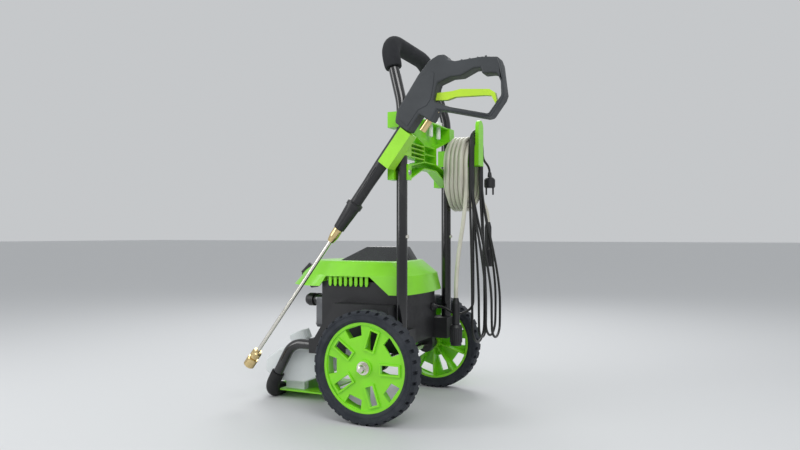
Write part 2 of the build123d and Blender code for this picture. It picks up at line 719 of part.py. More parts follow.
def head_bolts():
    """Socket bolts at the corners of the head."""
    bolts = []
    for x in (-1, 1):
        for z in (-1, 1):
            place = (x * (HEAD_X - 2 * BOLT_R), HEAD_FRONT, MOTOR_Z + z * (HEAD_Z - 2 * BOLT_R))
            bolts.append(turned([(0, 0), (BOLT_R, 0), (BOLT_R, BOLT_R), (BOLT_R / 2, BOLT_R),
                                 (BOLT_R / 2, BOLT_R / 2), (0, BOLT_R / 2)], place, (0, -1, 0)))
    return bolts


def pump_head():
    head = block(-HEAD_X, HEAD_X, HEAD_FRONT, HEAD_BACK, MOTOR_Z - HEAD_Z, MOTOR_Z + HEAD_Z)
    head = fillet(head.edges().filter_by(Axis.Y), 2 * BOLT_R)
    head -= [piston(i, PISTON_R + FIT, PISTON_STROKE + 1) for i in range(PISTONS)]
    for x, z in ((INLET_X, MOTOR_Z + INLET_UP), (OUTLET_X, MOTOR_Z)):
        head -= rod((x, HEAD_FRONT - 1, z), (x, HEAD_FRONT + FITTING_SINK, z), INLET_R - WALL / 2 + FIT)
    return head


def water_inlet():
    """Ringed hose connector for the water supply, open at the front."""
    neck = INLET_R - WALL / 2
    ring = INLET_R + WALL
    bore = INLET_R - 2 * WALL
    step = INLET_LEN / 6
    profile = [(bore, -FITTING_SINK), (neck, -FITTING_SINK), (neck, 0), (INLET_R, 0), (INLET_R, step),
               (ring, step), (ring, 2 * step), (INLET_R, 2 * step), (INLET_R, 3 * step), (ring, 3 * step),
               (ring, 5 * step), (INLET_R, INLET_LEN), (bore, INLET_LEN)]
    return front_fitting(INLET_X, MOTOR_Z + INLET_UP, profile)


def pressure_outlet():
    """Brass outlet for the pressure hose."""
    neck = INLET_R - WALL / 2
    bore = INLET_R - 2 * WALL
    half = INLET_LEN / 2
    profile = [(bore, -FITTING_SINK), (neck, -FITTING_SINK), (neck, 0), (INLET_R, 0), (INLET_R, half / 2),
               (neck, half / 2), (neck, half), (bore, half)]
    return front_fitting(OUTLET_X, MOTOR_Z, profile)


node("motor_can", motor_can())
node("motor_rotor", motor_rotor())
node("motor_fan", motor_fan())
node("swash_plate", swash_plate())
node("pump_housing", pump_housing())
for index in range(PISTONS):
    node(f"pump_piston_{index + 1}", piston(index, PISTON_R))
node("pump_head", pump_head())
node("pump_bolts", *head_bolts())
node("water_inlet", water_inlet())
node("pressure_outlet", pressure_outlet())


# Switch on the nose of the cover

SWITCH_BOX = 34.0


def switch_knob():
    """Fluted turn knob with a pointer rib, on a spindle through the cover."""
    low = BOSS_H + SEAT
    knob = rod(along_knob(low), along_knob(low + KNOB_H / 3), KNOB_R)
    knob += rod(along_knob(low), along_knob(low + KNOB_H / 2), KNOB_R * 0.8)
    frame = Plane(origin=along_knob(low), x_dir=(1, 0, 0), z_dir=KNOB_AXIS)
    grip = Box(KNOB_R / 3, 1.7 * KNOB_R, KNOB_H, align=(Align.CENTER, Align.CENTER, Align.MIN))
    return knob + frame * grip + rod(along_knob(-SWITCH_BOX / 2), along_knob(low), SPINDLE_R)


def switch_box():
    """Sealed rotary switch behind the nose, clamped to the boss."""
    frame = Plane(origin=along_knob(-7 * COVER_WALL), x_dir=(1, 0, 0), z_dir=-KNOB_AXIS)
    box = frame * Box(SWITCH_BOX, SWITCH_BOX, SWITCH_BOX / 2, align=(Align.CENTER, Align.CENTER, Align.MIN))
    return box - rod(along_knob(-60), along_knob(BOSS_H), SPINDLE_R + FIT)


node("switch_knob", switch_knob())
node("switch_box", switch_box())


# Detergent tank in the foot

TANK_FRONT = FOOT_FRONT - 24
TANK_BACK = SOCKET_FRONT + 8
CAP_X = 30.0
CAP_AXIS = Vector(0, -math.sin(math.radians(CAP_TILT)), math.cos(math.radians(CAP_TILT)))
CAP_ROOT = Vector(CAP_X, TANK_FRONT + 82, TANK_TOP + 6)
SHELF_BACK = TANK_BACK + 6
SHELF_FRONT = FOOT_FRONT + TUBE_R + BOOT_T + 6
TONGUE_X = FOOT_X - BOOT_LEN - 4
TANK_FOOT_X = 62.0
SIPHON_X = -30.0
SIPHON_R = 4.0


def along_cap(distance):
    return tuple(CAP_ROOT + CAP_AXIS * distance)


def soap_tank():
    """Hollow blow-moulded wedge with a slanted neck and two feet on the shelf."""
    low = TANK_LOW
    outline = [(TANK_FRONT + 26, low), (TANK_FRONT, low + 24), (TANK_FRONT, low + 52),
               (TANK_FRONT + 44, TANK_TOP), (TANK_BACK, TANK_TOP), (TANK_BACK, low + 20),
               (TANK_BACK - 48, low)]
    face = make_face(Polyline(*outline, close=True))
    body = extrude(Plane.YZ.offset(-TANK_X) * fillet(face.vertices(), 8), amount=2 * TANK_X, dir=(1, 0, 0))
    body = fillet(body.faces().filter_by(Axis.X).edges(), 5)
    room = offset(face, amount=-2 * TANK_WALL, kind=Kind.INTERSECTION)
    inner_x = TANK_X - 2 * TANK_WALL
    room = extrude(Plane.YZ.offset(-inner_x) * room, amount=2 * inner_x, dir=(1, 0, 0))
    neck = rod(along_cap(-CAP_R), along_cap(CAP_R), NECK_R) - room
    mouth = rod(along_cap(-CAP_R - 1), along_cap(CAP_R + 1), NECK_R - TANK_WALL)
    foot = block(TANK_FOOT_X - 9, TANK_FOOT_X + 9, TANK_FRONT + 56, TANK_BACK - 54, SHELF_Z + SHELF_T,
                 low + TANK_WALL)
    return body - room + neck - mouth + both_sides(foot)


def soap_cap():
    """Screw cap with a knurled rim over the neck."""
    low = CAP_R - CAP_H + SEAT
    top = CAP_R + SEAT
    shell = turned([(NECK_R + SLIDE, low), (CAP_R, low), (CAP_R, top + TANK_WALL),
                    (CAP_R - 2, top + 2 * TANK_WALL),
                    (0, top + 2 * TANK_WALL), (0, top), (NECK_R + SLIDE, top)], tuple(CAP_ROOT), CAP_AXIS)
    frame = Plane(origin=along_cap(low - 1), x_dir=(1, 0, 0), z_dir=CAP_AXIS)
    groove = Pos(CAP_R, 0, 0) * Cylinder(1.2, 2 * CAP_H, align=(Align.CENTER, Align.CENTER, Align.MIN))
    return shell - [frame * Rot(0, 0, 10 * i) * groove for i in range(36)]


def tank_shelf():
    """Plate under the tank, clipped round the foot's cross bar."""
    wide = FOOT_X - TUBE_R - BOOT_T - 2
    plate = block(-wide, wide, SHELF_FRONT, SHELF_BACK, SHELF_Z, SHELF_Z + SHELF_T)
    tongue = block(-TONGUE_X, TONGUE_X, FOOT_FRONT, SHELF_FRONT + 1, SHELF_Z, SHELF_Z + SHELF_T)
    bar = [(-TONGUE_X, FOOT_FRONT, FOOT_LOW), (TONGUE_X, FOOT_FRONT, FOOT_LOW)]
    clip = rod(*bar, TUBE_R + SHELF_T / 2) - block(-BASE_X, BASE_X, -BASE_X * 4, 0, -BASE_X, 1)
    return plate + tongue + clip - rod((-BASE_X, *bar[0][1:]), (BASE_X, *bar[0][1:]), TUBE_R + FIT)


def siphon_hose():
    """Short clear hose from the tank up to the pump head."""
    low_y = TANK_BACK - 24
    high_y = HEAD_BACK - HEAD_LEN / 2
    middle = (TANK_TOP + MOTOR_Z - HEAD_Z) / 2
    points = [(SIPHON_X, low_y, TANK_TOP), (SIPHON_X, low_y, middle - 7), (SIPHON_X, high_y, middle + 7),
              (SIPHON_X, high_y, MOTOR_Z - HEAD_Z)]
    return swept(FilletPolyline(*points, radius=[9, 9]), SIPHON_R, SIPHON_R - 1.5)


node("soap_tank", soap_tank())
node("soap_cap", soap_cap())
node("tank_shelf", tank_shelf())
node("siphon_hose", siphon_hose())


# Rack between the handle tubes, with spare nozzles

CLAMP_HALF = TUBE_R + CLAMP_WALL
RACK_FRONT = UPRIGHT_Y - RACK_DEPTH / 2
RACK_BACK = UPRIGHT_Y + RACK_DEPTH / 2
TIPS = [TIP_FIRST, TIP_FIRST - TIP_PITCH]
BOLT_X = UPRIGHT_X - 6
BOLT_Z = RACK_LOW + CLAMP_H / 2


def tube_bore(x):
    return rod((x, UPRIGHT_Y, JOINT_Z), (x, UPRIGHT_Y, BEND_Z), TUBE_R + FIT)


def clamp(z):
    """Boxy clamp round a handle tube, deeper in front of it."""
    return block(UPRIGHT_X - CLAMP_HALF, UPRIGHT_X + CLAMP_HALF, UPRIGHT_Y - TUBE_R - CLAMP_FRONT,
                 UPRIGHT_Y + CLAMP_HALF, z, z + CLAMP_H)


def rack_panel():
    """X-shaped tray: a web with four arms to the clamps, walled round its edge."""
    arm = UPRIGHT_X - TUBE_R - 1
    half = [(0, RACK_TOP), (arm, RACK_TOP), (arm, RACK_TOP - CLAMP_H), (WEB_X, NOTCH_TOP), (WEB_X, NOTCH_LOW),
            (arm, RACK_LOW + CLAMP_H), (arm, RACK_LOW), (WEB_X, WEB_LOW), (0, WEB_LOW)]
    outline = half + [(-x, z) for x, z in reversed(half[1:-1])]
    face = make_face(Polyline(*outline, close=True))
    floor = Plane.XZ.offset(-RACK_FRONT)
    tray = extrude(floor * face, amount=RACK_DEPTH, dir=(0, 1, 0))
    hollow = offset(face, amount=-RACK_T, kind=Kind.INTERSECTION)
    tray -= extrude(Plane.XZ.offset(-RACK_FRONT - RACK_T) * hollow, amount=RACK_DEPTH, dir=(0, 1, 0))
    for z in (RACK_TOP - CLAMP_H, RACK_LOW):
        tray += both_sides(clamp(z))
    tray -= both_sides(block(UPRIGHT_X + 2, UPRIGHT_X + CLAMP_HALF + 1, UPRIGHT_Y - TUBE_R,
                             UPRIGHT_Y + CLAMP_HALF + 1, RACK_LOW - 1, RACK_LOW + CLAMP_H + 1))
    for z in (NOTCH_LOW, (NOTCH_LOW + NOTCH_TOP) / 2, NOTCH_TOP):
        tray += block(-WEB_X, WEB_X, RACK_FRONT, RACK_BACK - RACK_T, z - RACK_T / 2, z + RACK_T / 2)
    for x in TIPS:
        tray -= rod((x, UPRIGHT_Y, RACK_TOP - 2 * RACK_T), (x, UPRIGHT_Y, RACK_TOP + 1), TIP_R + FIT)
    for x in (-UPRIGHT_X, UPRIGHT_X):
        tray -= tube_bore(x)
    hole = rod((BOLT_X, UPRIGHT_Y, BOLT_Z), (BOLT_X, UPRIGHT_Y + 2 * CLAMP_HALF, BOLT_Z), BOLT_R + FIT)
    return tray - both_sides(hole)


def rack_bolt():
    """Dome-headed bolt through the back of a lower clamp, against the tube."""
    back = CLAMP_HALF
    profile = [(0, TUBE_R + FIT), (BOLT_R, TUBE_R + FIT), (BOLT_R, back), (1.4 * BOLT_R, back),
               (BOLT_R, back + BOLT_R / 2), (0, back + 0.7 * BOLT_R)]
    return turned(profile, (BOLT_X, UPRIGHT_Y, BOLT_Z), (0, 1, 0))


def nozzle_tip(x):
    """Quick-connect spray tip standing in a hole of the rack's top wall."""
    profile = [(0, -TIP_LEN), (TIP_R - 2, -TIP_LEN), (TIP_R, 2 - TIP_LEN), (TIP_R, 0), (TIP_HEAD_R, 0),
               (TIP_HEAD_R, 1.5 * TIP_R), (TIP_R - 2, 2 * TIP_R), (0, 2 * TIP_R)]
    return turned(profile, (x, UPRIGHT_Y, RACK_TOP), (0, 0, 1))


node("rack_panel", rack_panel())
node("rack_bolts", *both_sides(rack_bolt()))
for index, x in enumerate(TIPS):
    node(f"nozzle_tip_{index + 1}", nozzle_tip(x))


# Spray gun and lance, in a slanted trough beside the left tube

GUN_X = UPRIGHT_X + CLAMP_HALF + GUN_GAP + TROUGH_WALL + BARREL_R + SEAT
LEAN = math.radians(GUN_TILT)
GUN_AXIS = Vector(0, math.cos(LEAN), math.sin(LEAN))
GUN_DOWN = Vector(0, math.sin(LEAN), -math.cos(LEAN))
GUN_ROOT = Vector(GUN_X, UPRIGHT_Y, GUN_Z)
SHELL_FRONT = 40.0


def on_lance(along, down=0.0, out=0.0):
    """Point by its distance along the lance, below it in the gun's plane, and out of that plane."""
    point = GUN_ROOT + GUN_AXIS * along + GUN_DOWN * down
    return (point.X + out, point.Y, point.Z)


def lance_piece(profile):
    """Turned piece on the lance; the profile is radius and distance along it."""
    return turned(profile, tuple(GUN_ROOT), GUN_AXIS)


def from_trough(points):
    """Outline points of the gun, given from the middle of the trough."""
    return [(UPRIGHT_Y + y, GUN_Z + z) for y, z in points]


def gun_holder():
    """Trough open to the front and top, on a clamp round the left tube."""
    frame = Plane(origin=on_lance(TROUGH_LOW), x_dir=GUN_DOWN, z_dir=GUN_AXIS)
    length = TROUGH_HIGH - TROUGH_LOW
    room = BARREL_R + SEAT
    half = room + TROUGH_WALL
    low_align = (Align.MIN, Align.CENTER, Align.MIN)
    body = frame * Pos(-TROUGH_WALL, 0, 0) * Box(half + 4 * TROUGH_WALL, 2 * half, length, align=low_align)
    body -= frame * Pos(-2 * half, 0, -1) * Box(2 * half, 2 * room, length + 2, align=low_align)
    body -= rod(on_lance(TROUGH_LOW - 1), on_lance(TROUGH_HIGH + 1), room)
    low = NOTCH_LOW + 3
    ring = block(UPRIGHT_X - CLAMP_HALF, GUN_X - half + 1, UPRIGHT_Y - CLAMP_HALF, UPRIGHT_Y + CLAMP_HALF,
                 low, GUN_Z + CLAMP_H / 2)
    inner, outer = WEB_X + SEAT, UPRIGHT_X - CLAMP_HALF + 1
    ring += block(inner, outer, UPRIGHT_Y - CLAMP_HALF, UPRIGHT_Y - CLAMP_HALF + RACK_T, low, NOTCH_TOP - 3)
    for index in range(RIB_COUNT):
        z = low + index * (NOTCH_TOP - 3 - RACK_T - low) / (RIB_COUNT - 1)
        ring += block(inner, outer, UPRIGHT_Y - CLAMP_HALF, UPRIGHT_Y + TUBE_R, z, z + RACK_T)
    return body + ring - tube_bore(UPRIGHT_X)


GUN_OUTLINE = [(11, 70), (64, 147), (90, 175), (109, 184), (126, 184), (133, 172), (148, 167), (209, 170),
               (244, 166),
               (250, 150), (258, 87), (254, 76), (228, 41), (217, 40), (127, 62), (107, 66), (93, 40),
               (74, 54), (66, 58)]
FINGER_GAP = [(109, 123), (138, 133), (162, 133), (191, 146), (206, 146), (209, 133), (230, 133), (242, 130),
              (249, 114), (250, 85), (222, 49), (136, 70), (100, 85), (107, 118)]
TRIGGER = [(89, 95), (92, 101), (100, 104), (138, 105), (158, 108), (222, 102), (234, 94), (238, 77),
           (235, 71),
           (231, 78), (226, 88), (212, 90), (146, 92), (127, 87), (104, 88), (93, 88)]
PIVOT = (96, 95)
PIVOT_R = 3.0
PIVOT_ROOM = 9.5
INLET_DOWN = 38.0
INLET_LOW = 60.0
INLET_TOP = 128.0
INLET_TUBE_R = 8.0
VALVE_TOP = 112.0


def gun_pin(x0, x1, radius):
    y, z = from_trough([PIVOT])[0]
    return rod((x0, y, z), (x1, y, z), radius)


def gun_shell(side):
    """Half of the moulded gun: body, grip and guard, with room for the valve and the trigger."""
    front = [on_lance(SHELL_FRONT, BARREL_R + 3)[1:], on_lance(SHELL_FRONT, -BARREL_R - 7)[1:]]
    x0, x1 = sorted((GUN_X, GUN_X + side * GUN_HALF))
    shell = side_prism(front + from_trough(GUN_OUTLINE), x0, x1)
    outer_face = shell.faces().sort_by(Axis.X)[-1 if side > 0 else 0]
    shell = chamfer(outer_face.edges(), 2)
    shell -= side_prism(from_trough(FINGER_GAP), x0 - 1, x1 + 1)
    pocket = TRIGGER_T / 2 + SLIDE
    shell -= gun_pin(GUN_X - pocket, GUN_X + pocket, PIVOT_ROOM)
    shell -= side_prism(from_trough([(96, 85.5), (96, 110), (114, 118), (114, 82)]), GUN_X - pocket,
                        GUN_X + pocket)
    shell -= rod(on_lance(SHELL_FRONT - 1), on_lance(VALVE_TOP), VALVE_R + FIT)
    shell -= rod(on_lance(INLET_LOW, INLET_DOWN), on_lance(INLET_TOP, INLET_DOWN), INLET_TUBE_R + FIT)
    if side > 0:
        shell += gun_pin(GUN_X - pocket, GUN_X + pocket + 1, PIVOT_R)
    return shell


def gun_trigger():
    """Long lever hung at the front of the finger gap."""
    half = TRIGGER_T / 2
    lever = side_prism(from_trough(TRIGGER), GUN_X - half, GUN_X + half)
    return lever - gun_pin(GUN_X - half - 1, GUN_X + half + 1, PIVOT_R + FIT)


def gun_valve():
    """Brass valve in the gun's body, with a spigot down the barrel."""
    return lance_piece([(0, VALVE_TOP - SEAT), (VALVE_R, VALVE_TOP - SEAT), (VALVE_R, SHELL_FRONT),
                        (LANCE_R + 3, SHELL_FRONT),
                        (LANCE_R + 3, SHELL_FRONT - 20), (0, SHELL_FRONT - 20)])


def gun_inlet():
    """Threaded inlet for the hose under the gun's body."""
    tube = rod(on_lance(INLET_LOW, INLET_DOWN), on_lance(INLET_TOP - SEAT, INLET_DOWN), INLET_TUBE_R)
    return tube - rod(on_lance(INLET_LOW - 1, INLET_DOWN), on_lance(INLET_LOW + 20, INLET_DOWN),
                      INLET_TUBE_R / 2)


WAIST = -110.0
BARREL_SLOTS = [(-66, -92), (-104, -148)]
SLOT_R = 2.4
COLLAR_AT = -163.0
SLEEVE_AT = -176.0
SLEEVE_END = -239.0
COUPLING_END = -276.0
NOZZLE_END = LANCE_END - 44


def lance_grip():
    """Barrel through the trough, a waist, a collar and a fluted sleeve, with a bore for the lance."""
    thin = BARREL_R - 1.5
    bore = LANCE_R + FIT
    spigot = LANCE_R + 3 + FIT
    barrel = lance_piece([(spigot, SHELL_FRONT), (BARREL_R, SHELL_FRONT), (BARREL_R, TROUGH_LOW - 6),
                          (thin, WAIST),
                          (thin, COLLAR_AT), (BARREL_R + 4, COLLAR_AT - 3), (BARREL_R + 4, SLEEVE_AT),
                          (BARREL_R + 2, SLEEVE_AT),
                          (thin - 0.5, SLEEVE_END), (bore, SLEEVE_END), (bore, SHELL_FRONT - 21),
                          (spigot, SHELL_FRONT - 21)])
    flutes = []
    for index in range(10):
        angle = math.radians(36 * index)
        shift = BARREL_R + 3
        down, out = shift * math.cos(angle), shift * math.sin(angle)
        flutes.append(rod(on_lance(SLEEVE_AT - 6, down, out),
                          on_lance(SLEEVE_END - 1, down * 0.8, out * 0.8), 2))
    slots = []
    for start, end in BARREL_SLOTS:
        for out in (-BARREL_R, BARREL_R):
            slots.append(rod(on_lance(start, 0, out), on_lance(end, 0, out), SLOT_R))
    return barrel - flutes - slots


def lance_tube():
    start, end = SHELL_FRONT - 21, LANCE_END - 20
    return rod(on_lance(start), on_lance(end), LANCE_R) - rod(on_lance(start + 1), on_lance(end - 1),
                                                              LANCE_R - 1.5)


def lance_coupling():
    """Brass nut where the lance leaves the sleeve."""
    bore = LANCE_R + FIT
    wide = 2.3 * LANCE_R
    return lance_piece([(bore, SLEEVE_END), (wide - 1, SLEEVE_END), (wide, SLEEVE_END - 6),
                        (wide, SLEEVE_END - 22),
                        (wide - 3, COUPLING_END), (bore, COUPLING_END)])


NOZZLE_R = 2.0 * LANCE_R


def nozzle_body():
    """Brass quick-connect socket on the end of the lance, for the spare tips."""
    bore = LANCE_R + FIT
    socket = TIP_R + FIT
    return lance_piece([(bore, LANCE_END + 5), (NOZZLE_R + 0.5, LANCE_END + 5),
                        (NOZZLE_R + 0.5, LANCE_END + 1),
                        (NOZZLE_R + 3, LANCE_END - 1), (NOZZLE_R + 3, LANCE_END - 12),
                        (NOZZLE_R, LANCE_END - 12),
                        (NOZZLE_R, NOZZLE_END), (socket, NOZZLE_END), (socket, LANCE_END - 20),
                        (bore, LANCE_END - 20)])


def nozzle_collar():
    """Sleeve that pulls back to let a spray tip go."""
    bore = NOZZLE_R + FIT
    wide = NOZZLE_R + 4.4
    top = LANCE_END - 12 - COLLAR_TRAVEL - 2
    return lance_piece([(bore, top), (wide - 1, top), (wide, top - 2), (wide, NOZZLE_END + 2),
                        (wide - 2, NOZZLE_END),
                        (bore, NOZZLE_END)])


node("gun_holder", gun_holder())
node("gun_shell_left", gun_shell(1))
node("gun_shell_right", gun_shell(-1))
node("gun_trigger", gun_trigger())
node("gun_valve", gun_valve(), gun_inlet())
node("lance_grip", lance_grip())
node("lance_tube", lance_tube())
node("lance_coupling", lance_coupling())
node("nozzle_body", nozzle_body())
node("nozzle_collar", nozzle_collar())


# Hook on the right tube, with the wound hose and the hank of mains cord

HOOK_AT = -UPRIGHT_X


def hose_hook():
    """Clamp, rounded arm and upright paddle."""
    ring = block(HOOK_AT - CLAMP_HALF, HOOK_AT + CLAMP_HALF, UPRIGHT_Y - CLAMP_HALF, UPRIGHT_Y + CLAMP_HALF,
                 HOOK_Z, HOOK_Z + CLAMP_H + 6)
    low, edge = HOOK_Z, HOOK_TOP - HOOK_X / 4
    corners = [(HOOK_AT - HOOK_X, edge), (HOOK_AT - HOOK_X, low), (HOOK_AT + HOOK_X, low),
               (HOOK_AT + HOOK_X, edge)]
    crown = ThreePointArc(corners[3], (HOOK_AT, HOOK_TOP), corners[0])
    face = make_face([Line(*corners[0:2]), Line(*corners[1:3]), Line(*corners[2:4]), crown])
    start = UPRIGHT_Y + TUBE_R + 1
    arm = extrude(Plane.XZ.offset(-start) * face, amount=HOOK_BACK - start, dir=(0, 1, 0))
    arm -= block(HOOK_AT - HOOK_X + 4, HOOK_AT + HOOK_X - 4, UPRIGHT_Y + CLAMP_HALF, HOOK_BACK, low - 1,
                 edge - 8)
    paddle = block(HOOK_AT - HOOK_X, HOOK_AT + HOOK_X, HOOK_BACK - 1, HOOK_BACK + PADDLE_T, HOOK_Z,
                   PADDLE_TOP)
    paddle = fillet(paddle.edges().filter_by(Axis.Y).group_by(Axis.Z)[-1], HOOK_X - 2)
    return ring + arm + paddle - tube_bore(HOOK_AT)


UP = Vector(0, 0, 1)
DOWN = Vector(0, 0, -1)


def arc_from(start, corner, end):
    """Arc from start to end, touching the lines from both to the corner."""
    middle = (start + end) / 2
    if (corner - start).cross(end - corner).length < 1e-6:
        return Line(start, end)
    chord = (end - start).length
    turn = (corner - start).get_angle(end - start)
    reach = chord / 2 * math.tan(math.radians(turn / 2))
    return ThreePointArc(start, middle + (corner - middle).normalized() * reach, end)


def biarc(knot, after):
    """Two arcs that leave one knot and reach the next along their directions."""
    (start, leave), (end, reach) = knot, after
    span = end - start
    both = span.dot(leave + reach)
    bend = 2 * (1 - leave.dot(reach))
    if bend > 1e-9:
        arm = (math.sqrt(both * both + bend * span.dot(span)) - both) / bend
    else:
        arm = span.dot(span) / (4 * span.dot(leave))
    first, second = start + leave * arm, end - reach * arm
    joint = (first + second) / 2
    return [arc_from(start, first, joint), arc_from(joint, second, end)]


def wound(knots, radius):
    """One unbroken tube through knots, each a point and a direction."""
    edges = [edge for pair in zip(knots, knots[1:]) for edge in biarc(*pair)]
    path = Wire(edges)
    return sweep(Plane(path.position_at(0), z_dir=path.tangent_at(0)) * Circle(radius), path=path), path


HOSE_FRONT = UPRIGHT_Y + CLAMP_HALF + SEAT + HOSE_R
HOSE_UP = HOOK_TOP + SEAT + HOSE_R - HOSE_LOOP_R
HOSE_DOWN = HOSE_UP - HOSE_LOOP_RUN


def hose_knots():
    """Inner layer wound towards the tube, then the outer layer back over it."""
    knots = []
    inner, outer = HOSE_LOOP_R, HOSE_LOOP_R + HOSE_LAYER
    for turn in range(HOSE_TURNS):
        y = HOSE_FRONT + (HOSE_TURNS - turn) * HOSE_STEP
        knots += [(Vector(HOOK_AT + inner, y, HOSE_DOWN), UP), (Vector(HOOK_AT + inner, y, HOSE_UP), UP),
                  (Vector(HOOK_AT - inner, y, HOSE_UP), DOWN), (Vector(HOOK_AT - inner, y, HOSE_DOWN), DOWN)]
    knots += [(Vector(HOOK_AT + inner, HOSE_FRONT, HOSE_DOWN), UP),
              (Vector(HOOK_AT + inner, HOSE_FRONT, HOSE_UP), UP),
              (Vector(HOOK_AT - outer, HOSE_FRONT, HOSE_UP), DOWN),
              (Vector(HOOK_AT - outer, HOSE_FRONT, HOSE_DOWN), DOWN)]
    for turn in range(1, HOSE_TURNS):
        y = HOSE_FRONT + turn * HOSE_STEP
        knots += [(Vector(HOOK_AT + outer, y, HOSE_DOWN), UP), (Vector(HOOK_AT + outer, y, HOSE_UP), UP),
                  (Vector(HOOK_AT - outer, y, HOSE_UP), DOWN), (Vector(HOOK_AT - outer, y, HOSE_DOWN), DOWN)]
    return knots


TAIL_NEAR = Vector(-70, 111, 262)
TAIL_FAR = Vector(-218, 150, 457)
SLEEVE_LEN = 74.0
SLEEVE_R = 9.5
FITTING_LEN = 52.0
FITTING_R = 16.0


def hose_sleeve(end):
    """Bend relief on the end of the hose, with a flange that the swivel nut turns on."""
    return turned([(0, 0), (HOSE_R + 1, 0), (SLEEVE_R, 14), (SLEEVE_R, SLEEVE_LEN - 6),
                   (SLEEVE_R - 3, SLEEVE_LEN - 6),
                   (SLEEVE_R - 3, SLEEVE_LEN + 8), (SLEEVE_R + 2, SLEEVE_LEN + 8),
                   (SLEEVE_R + 2, SLEEVE_LEN + 12),
                   (0, SLEEVE_LEN + 12)], tuple(end), (0, 0, -1))


def hose_fitting(end):
    """Ribbed swivel nut on the end of a sleeve."""
    start = SLEEVE_LEN - 6 + SLIDE
    stop = start + FITTING_LEN
    neck = SLEEVE_R - 3 + FIT
    flange = SLEEVE_R + 2 + SLIDE
    nut = turned([(neck, start), (FITTING_R - 3, start), (FITTING_R, start + 6), (FITTING_R, stop - 8),
                  (FITTING_R - 2, stop - 8), (FITTING_R - 2, stop), (flange, stop),
                  (flange, SLEEVE_LEN + 8 - SLIDE),
                  (neck, SLEEVE_LEN + 8 - SLIDE)], tuple(end), (0, 0, -1))
    grooves = []
    for index in range(18):
        angle = math.radians(20 * index)
        spot = end + Vector((FITTING_R + 0.6) * math.cos(angle), (FITTING_R + 0.6) * math.sin(angle), 0)
        grooves.append(rod(tuple(spot + DOWN * (start + 8)), tuple(spot + DOWN * (stop - 10)), 1.4))
    return nut - grooves


CORD_FRONT = HOSE_FRONT + HOSE_TURNS * HOSE_STEP + HOSE_R + CORD_R + SEAT
CORD_OUT = CORD_LOOP_R + (CORD_TURNS - 1) * CORD_LAYER
CORD_UP = HOOK_TOP - HOOK_X / 4 + 1 - math.sqrt((CORD_LOOP_R - CORD_R)**2 - HOOK_X**2)
CORD_START = 300.0
PLUG_TOP = Vector(HOOK_AT - CORD_OUT - CORD_R - PLUG_R - 1.5,
                  CORD_FRONT - CORD_R + PLUG_R + 1, 592)


def hank_knots():
    """Turns over the hook, each outside the last, and long loops that hang apart behind one another."""
    bottoms = [(CORD_FRONT + 17, 187), (CORD_FRONT + 53, 196), (CORD_FRONT + 39, 207), (CORD_FRONT + 6, 194)]
    knots = [(Vector(HOOK_AT + CORD_LOOP_R, CORD_FRONT, CORD_START), UP)]
    for turn in range(CORD_TURNS):
        reach = CORD_LOOP_R + turn * CORD_LAYER
        after = reach + CORD_LAYER
        knots += [(Vector(HOOK_AT + reach, CORD_FRONT, CORD_UP), UP),
                  (Vector(HOOK_AT - reach, CORD_FRONT, CORD_UP), DOWN)]
        if turn < len(bottoms):
            low_y, low_z = bottoms[turn]
            knots += [(Vector(HOOK_AT - reach, low_y, low_z), DOWN),
                      (Vector(HOOK_AT + after, low_y, low_z), UP)]
    return knots + [(PLUG_TOP, DOWN)]


def cord_lead():
    """Slack cord that leaves the gland, dips and rises into the hank."""
    x0, x1 = GLAND_X, HOOK_AT + CORD_LOOP_R
    y0, y1 = BODY_BACK + GLAND_LEN, CORD_FRONT
    points = [(x0, y0, GLAND_Z), (x0, y0 + 20, GLAND_Z), (x0 - 4, y0 + 40, GLAND_Z - 16),
              (x0 - 14, y0 + 64, GLAND_Z - 17), (x0 - 23, y1 + 0.6, GLAND_Z + 0.5),
              (x1, y1, GLAND_Z + 31), (x1, y1, CORD_START)]
    radii = []
    for before, at, after in zip(points, points[1:], points[2:]):
        leave, reach = Vector(*at) - Vector(*before), Vector(*after) - Vector(*at)
        turn = math.radians(leave.get_angle(reach))
        radii.append(0.45 * min(leave.length, reach.length) / math.tan(turn / 2))
    print("cord lead bends", [round(r, 1) for r in radii])
    return swept(FilletPolyline(*points, radius=radii), CORD_R)


def cord_gland():
    """Bend relief where the mains cord leaves the motor housing."""
    back = BODY_BACK
    return turned([(0, -WALL), (GLAND_R, -WALL), (GLAND_R, 0), (GLAND_R + 3, 0), (GLAND_R + 3, 4),
                   (GLAND_R - 1, 6),
                   (CORD_R + 1.2, GLAND_LEN), (0, GLAND_LEN)], (GLAND_X, back, GLAND_Z), (0, 1, 0))


def power_plug():
    """Round moulded mains plug with two pins and a stepped grip."""
    body = turned([(0, 0), (CORD_R + 1.5, 0), (CORD_R + 3, 12), (PLUG_R - 3, 16), (PLUG_R, 20),
                   (PLUG_R, 38), (PLUG_R - 2, 42),
                   (0, 42)], tuple(PLUG_TOP), (0, 0, -1))
    pins = [rod(tuple(PLUG_TOP + Vector(0, side * 9.5, -41)),
                tuple(PLUG_TOP + Vector(0, side * 9.5, -61)), 2.4)
            for side in (-1, 1)]
    return body + pins


def least_gap(path, count, dia, apart):
    """Smallest clear space between turns of one path."""
    points = [path.position_at(i / count) for i in range(count + 1)]
    step = path.length / count
    skip = int(apart / step)
    best = min((points[i] - points[j]).length for i in range(count + 1) for j in range(i + skip, count + 1))
    return round(best - dia, 2)


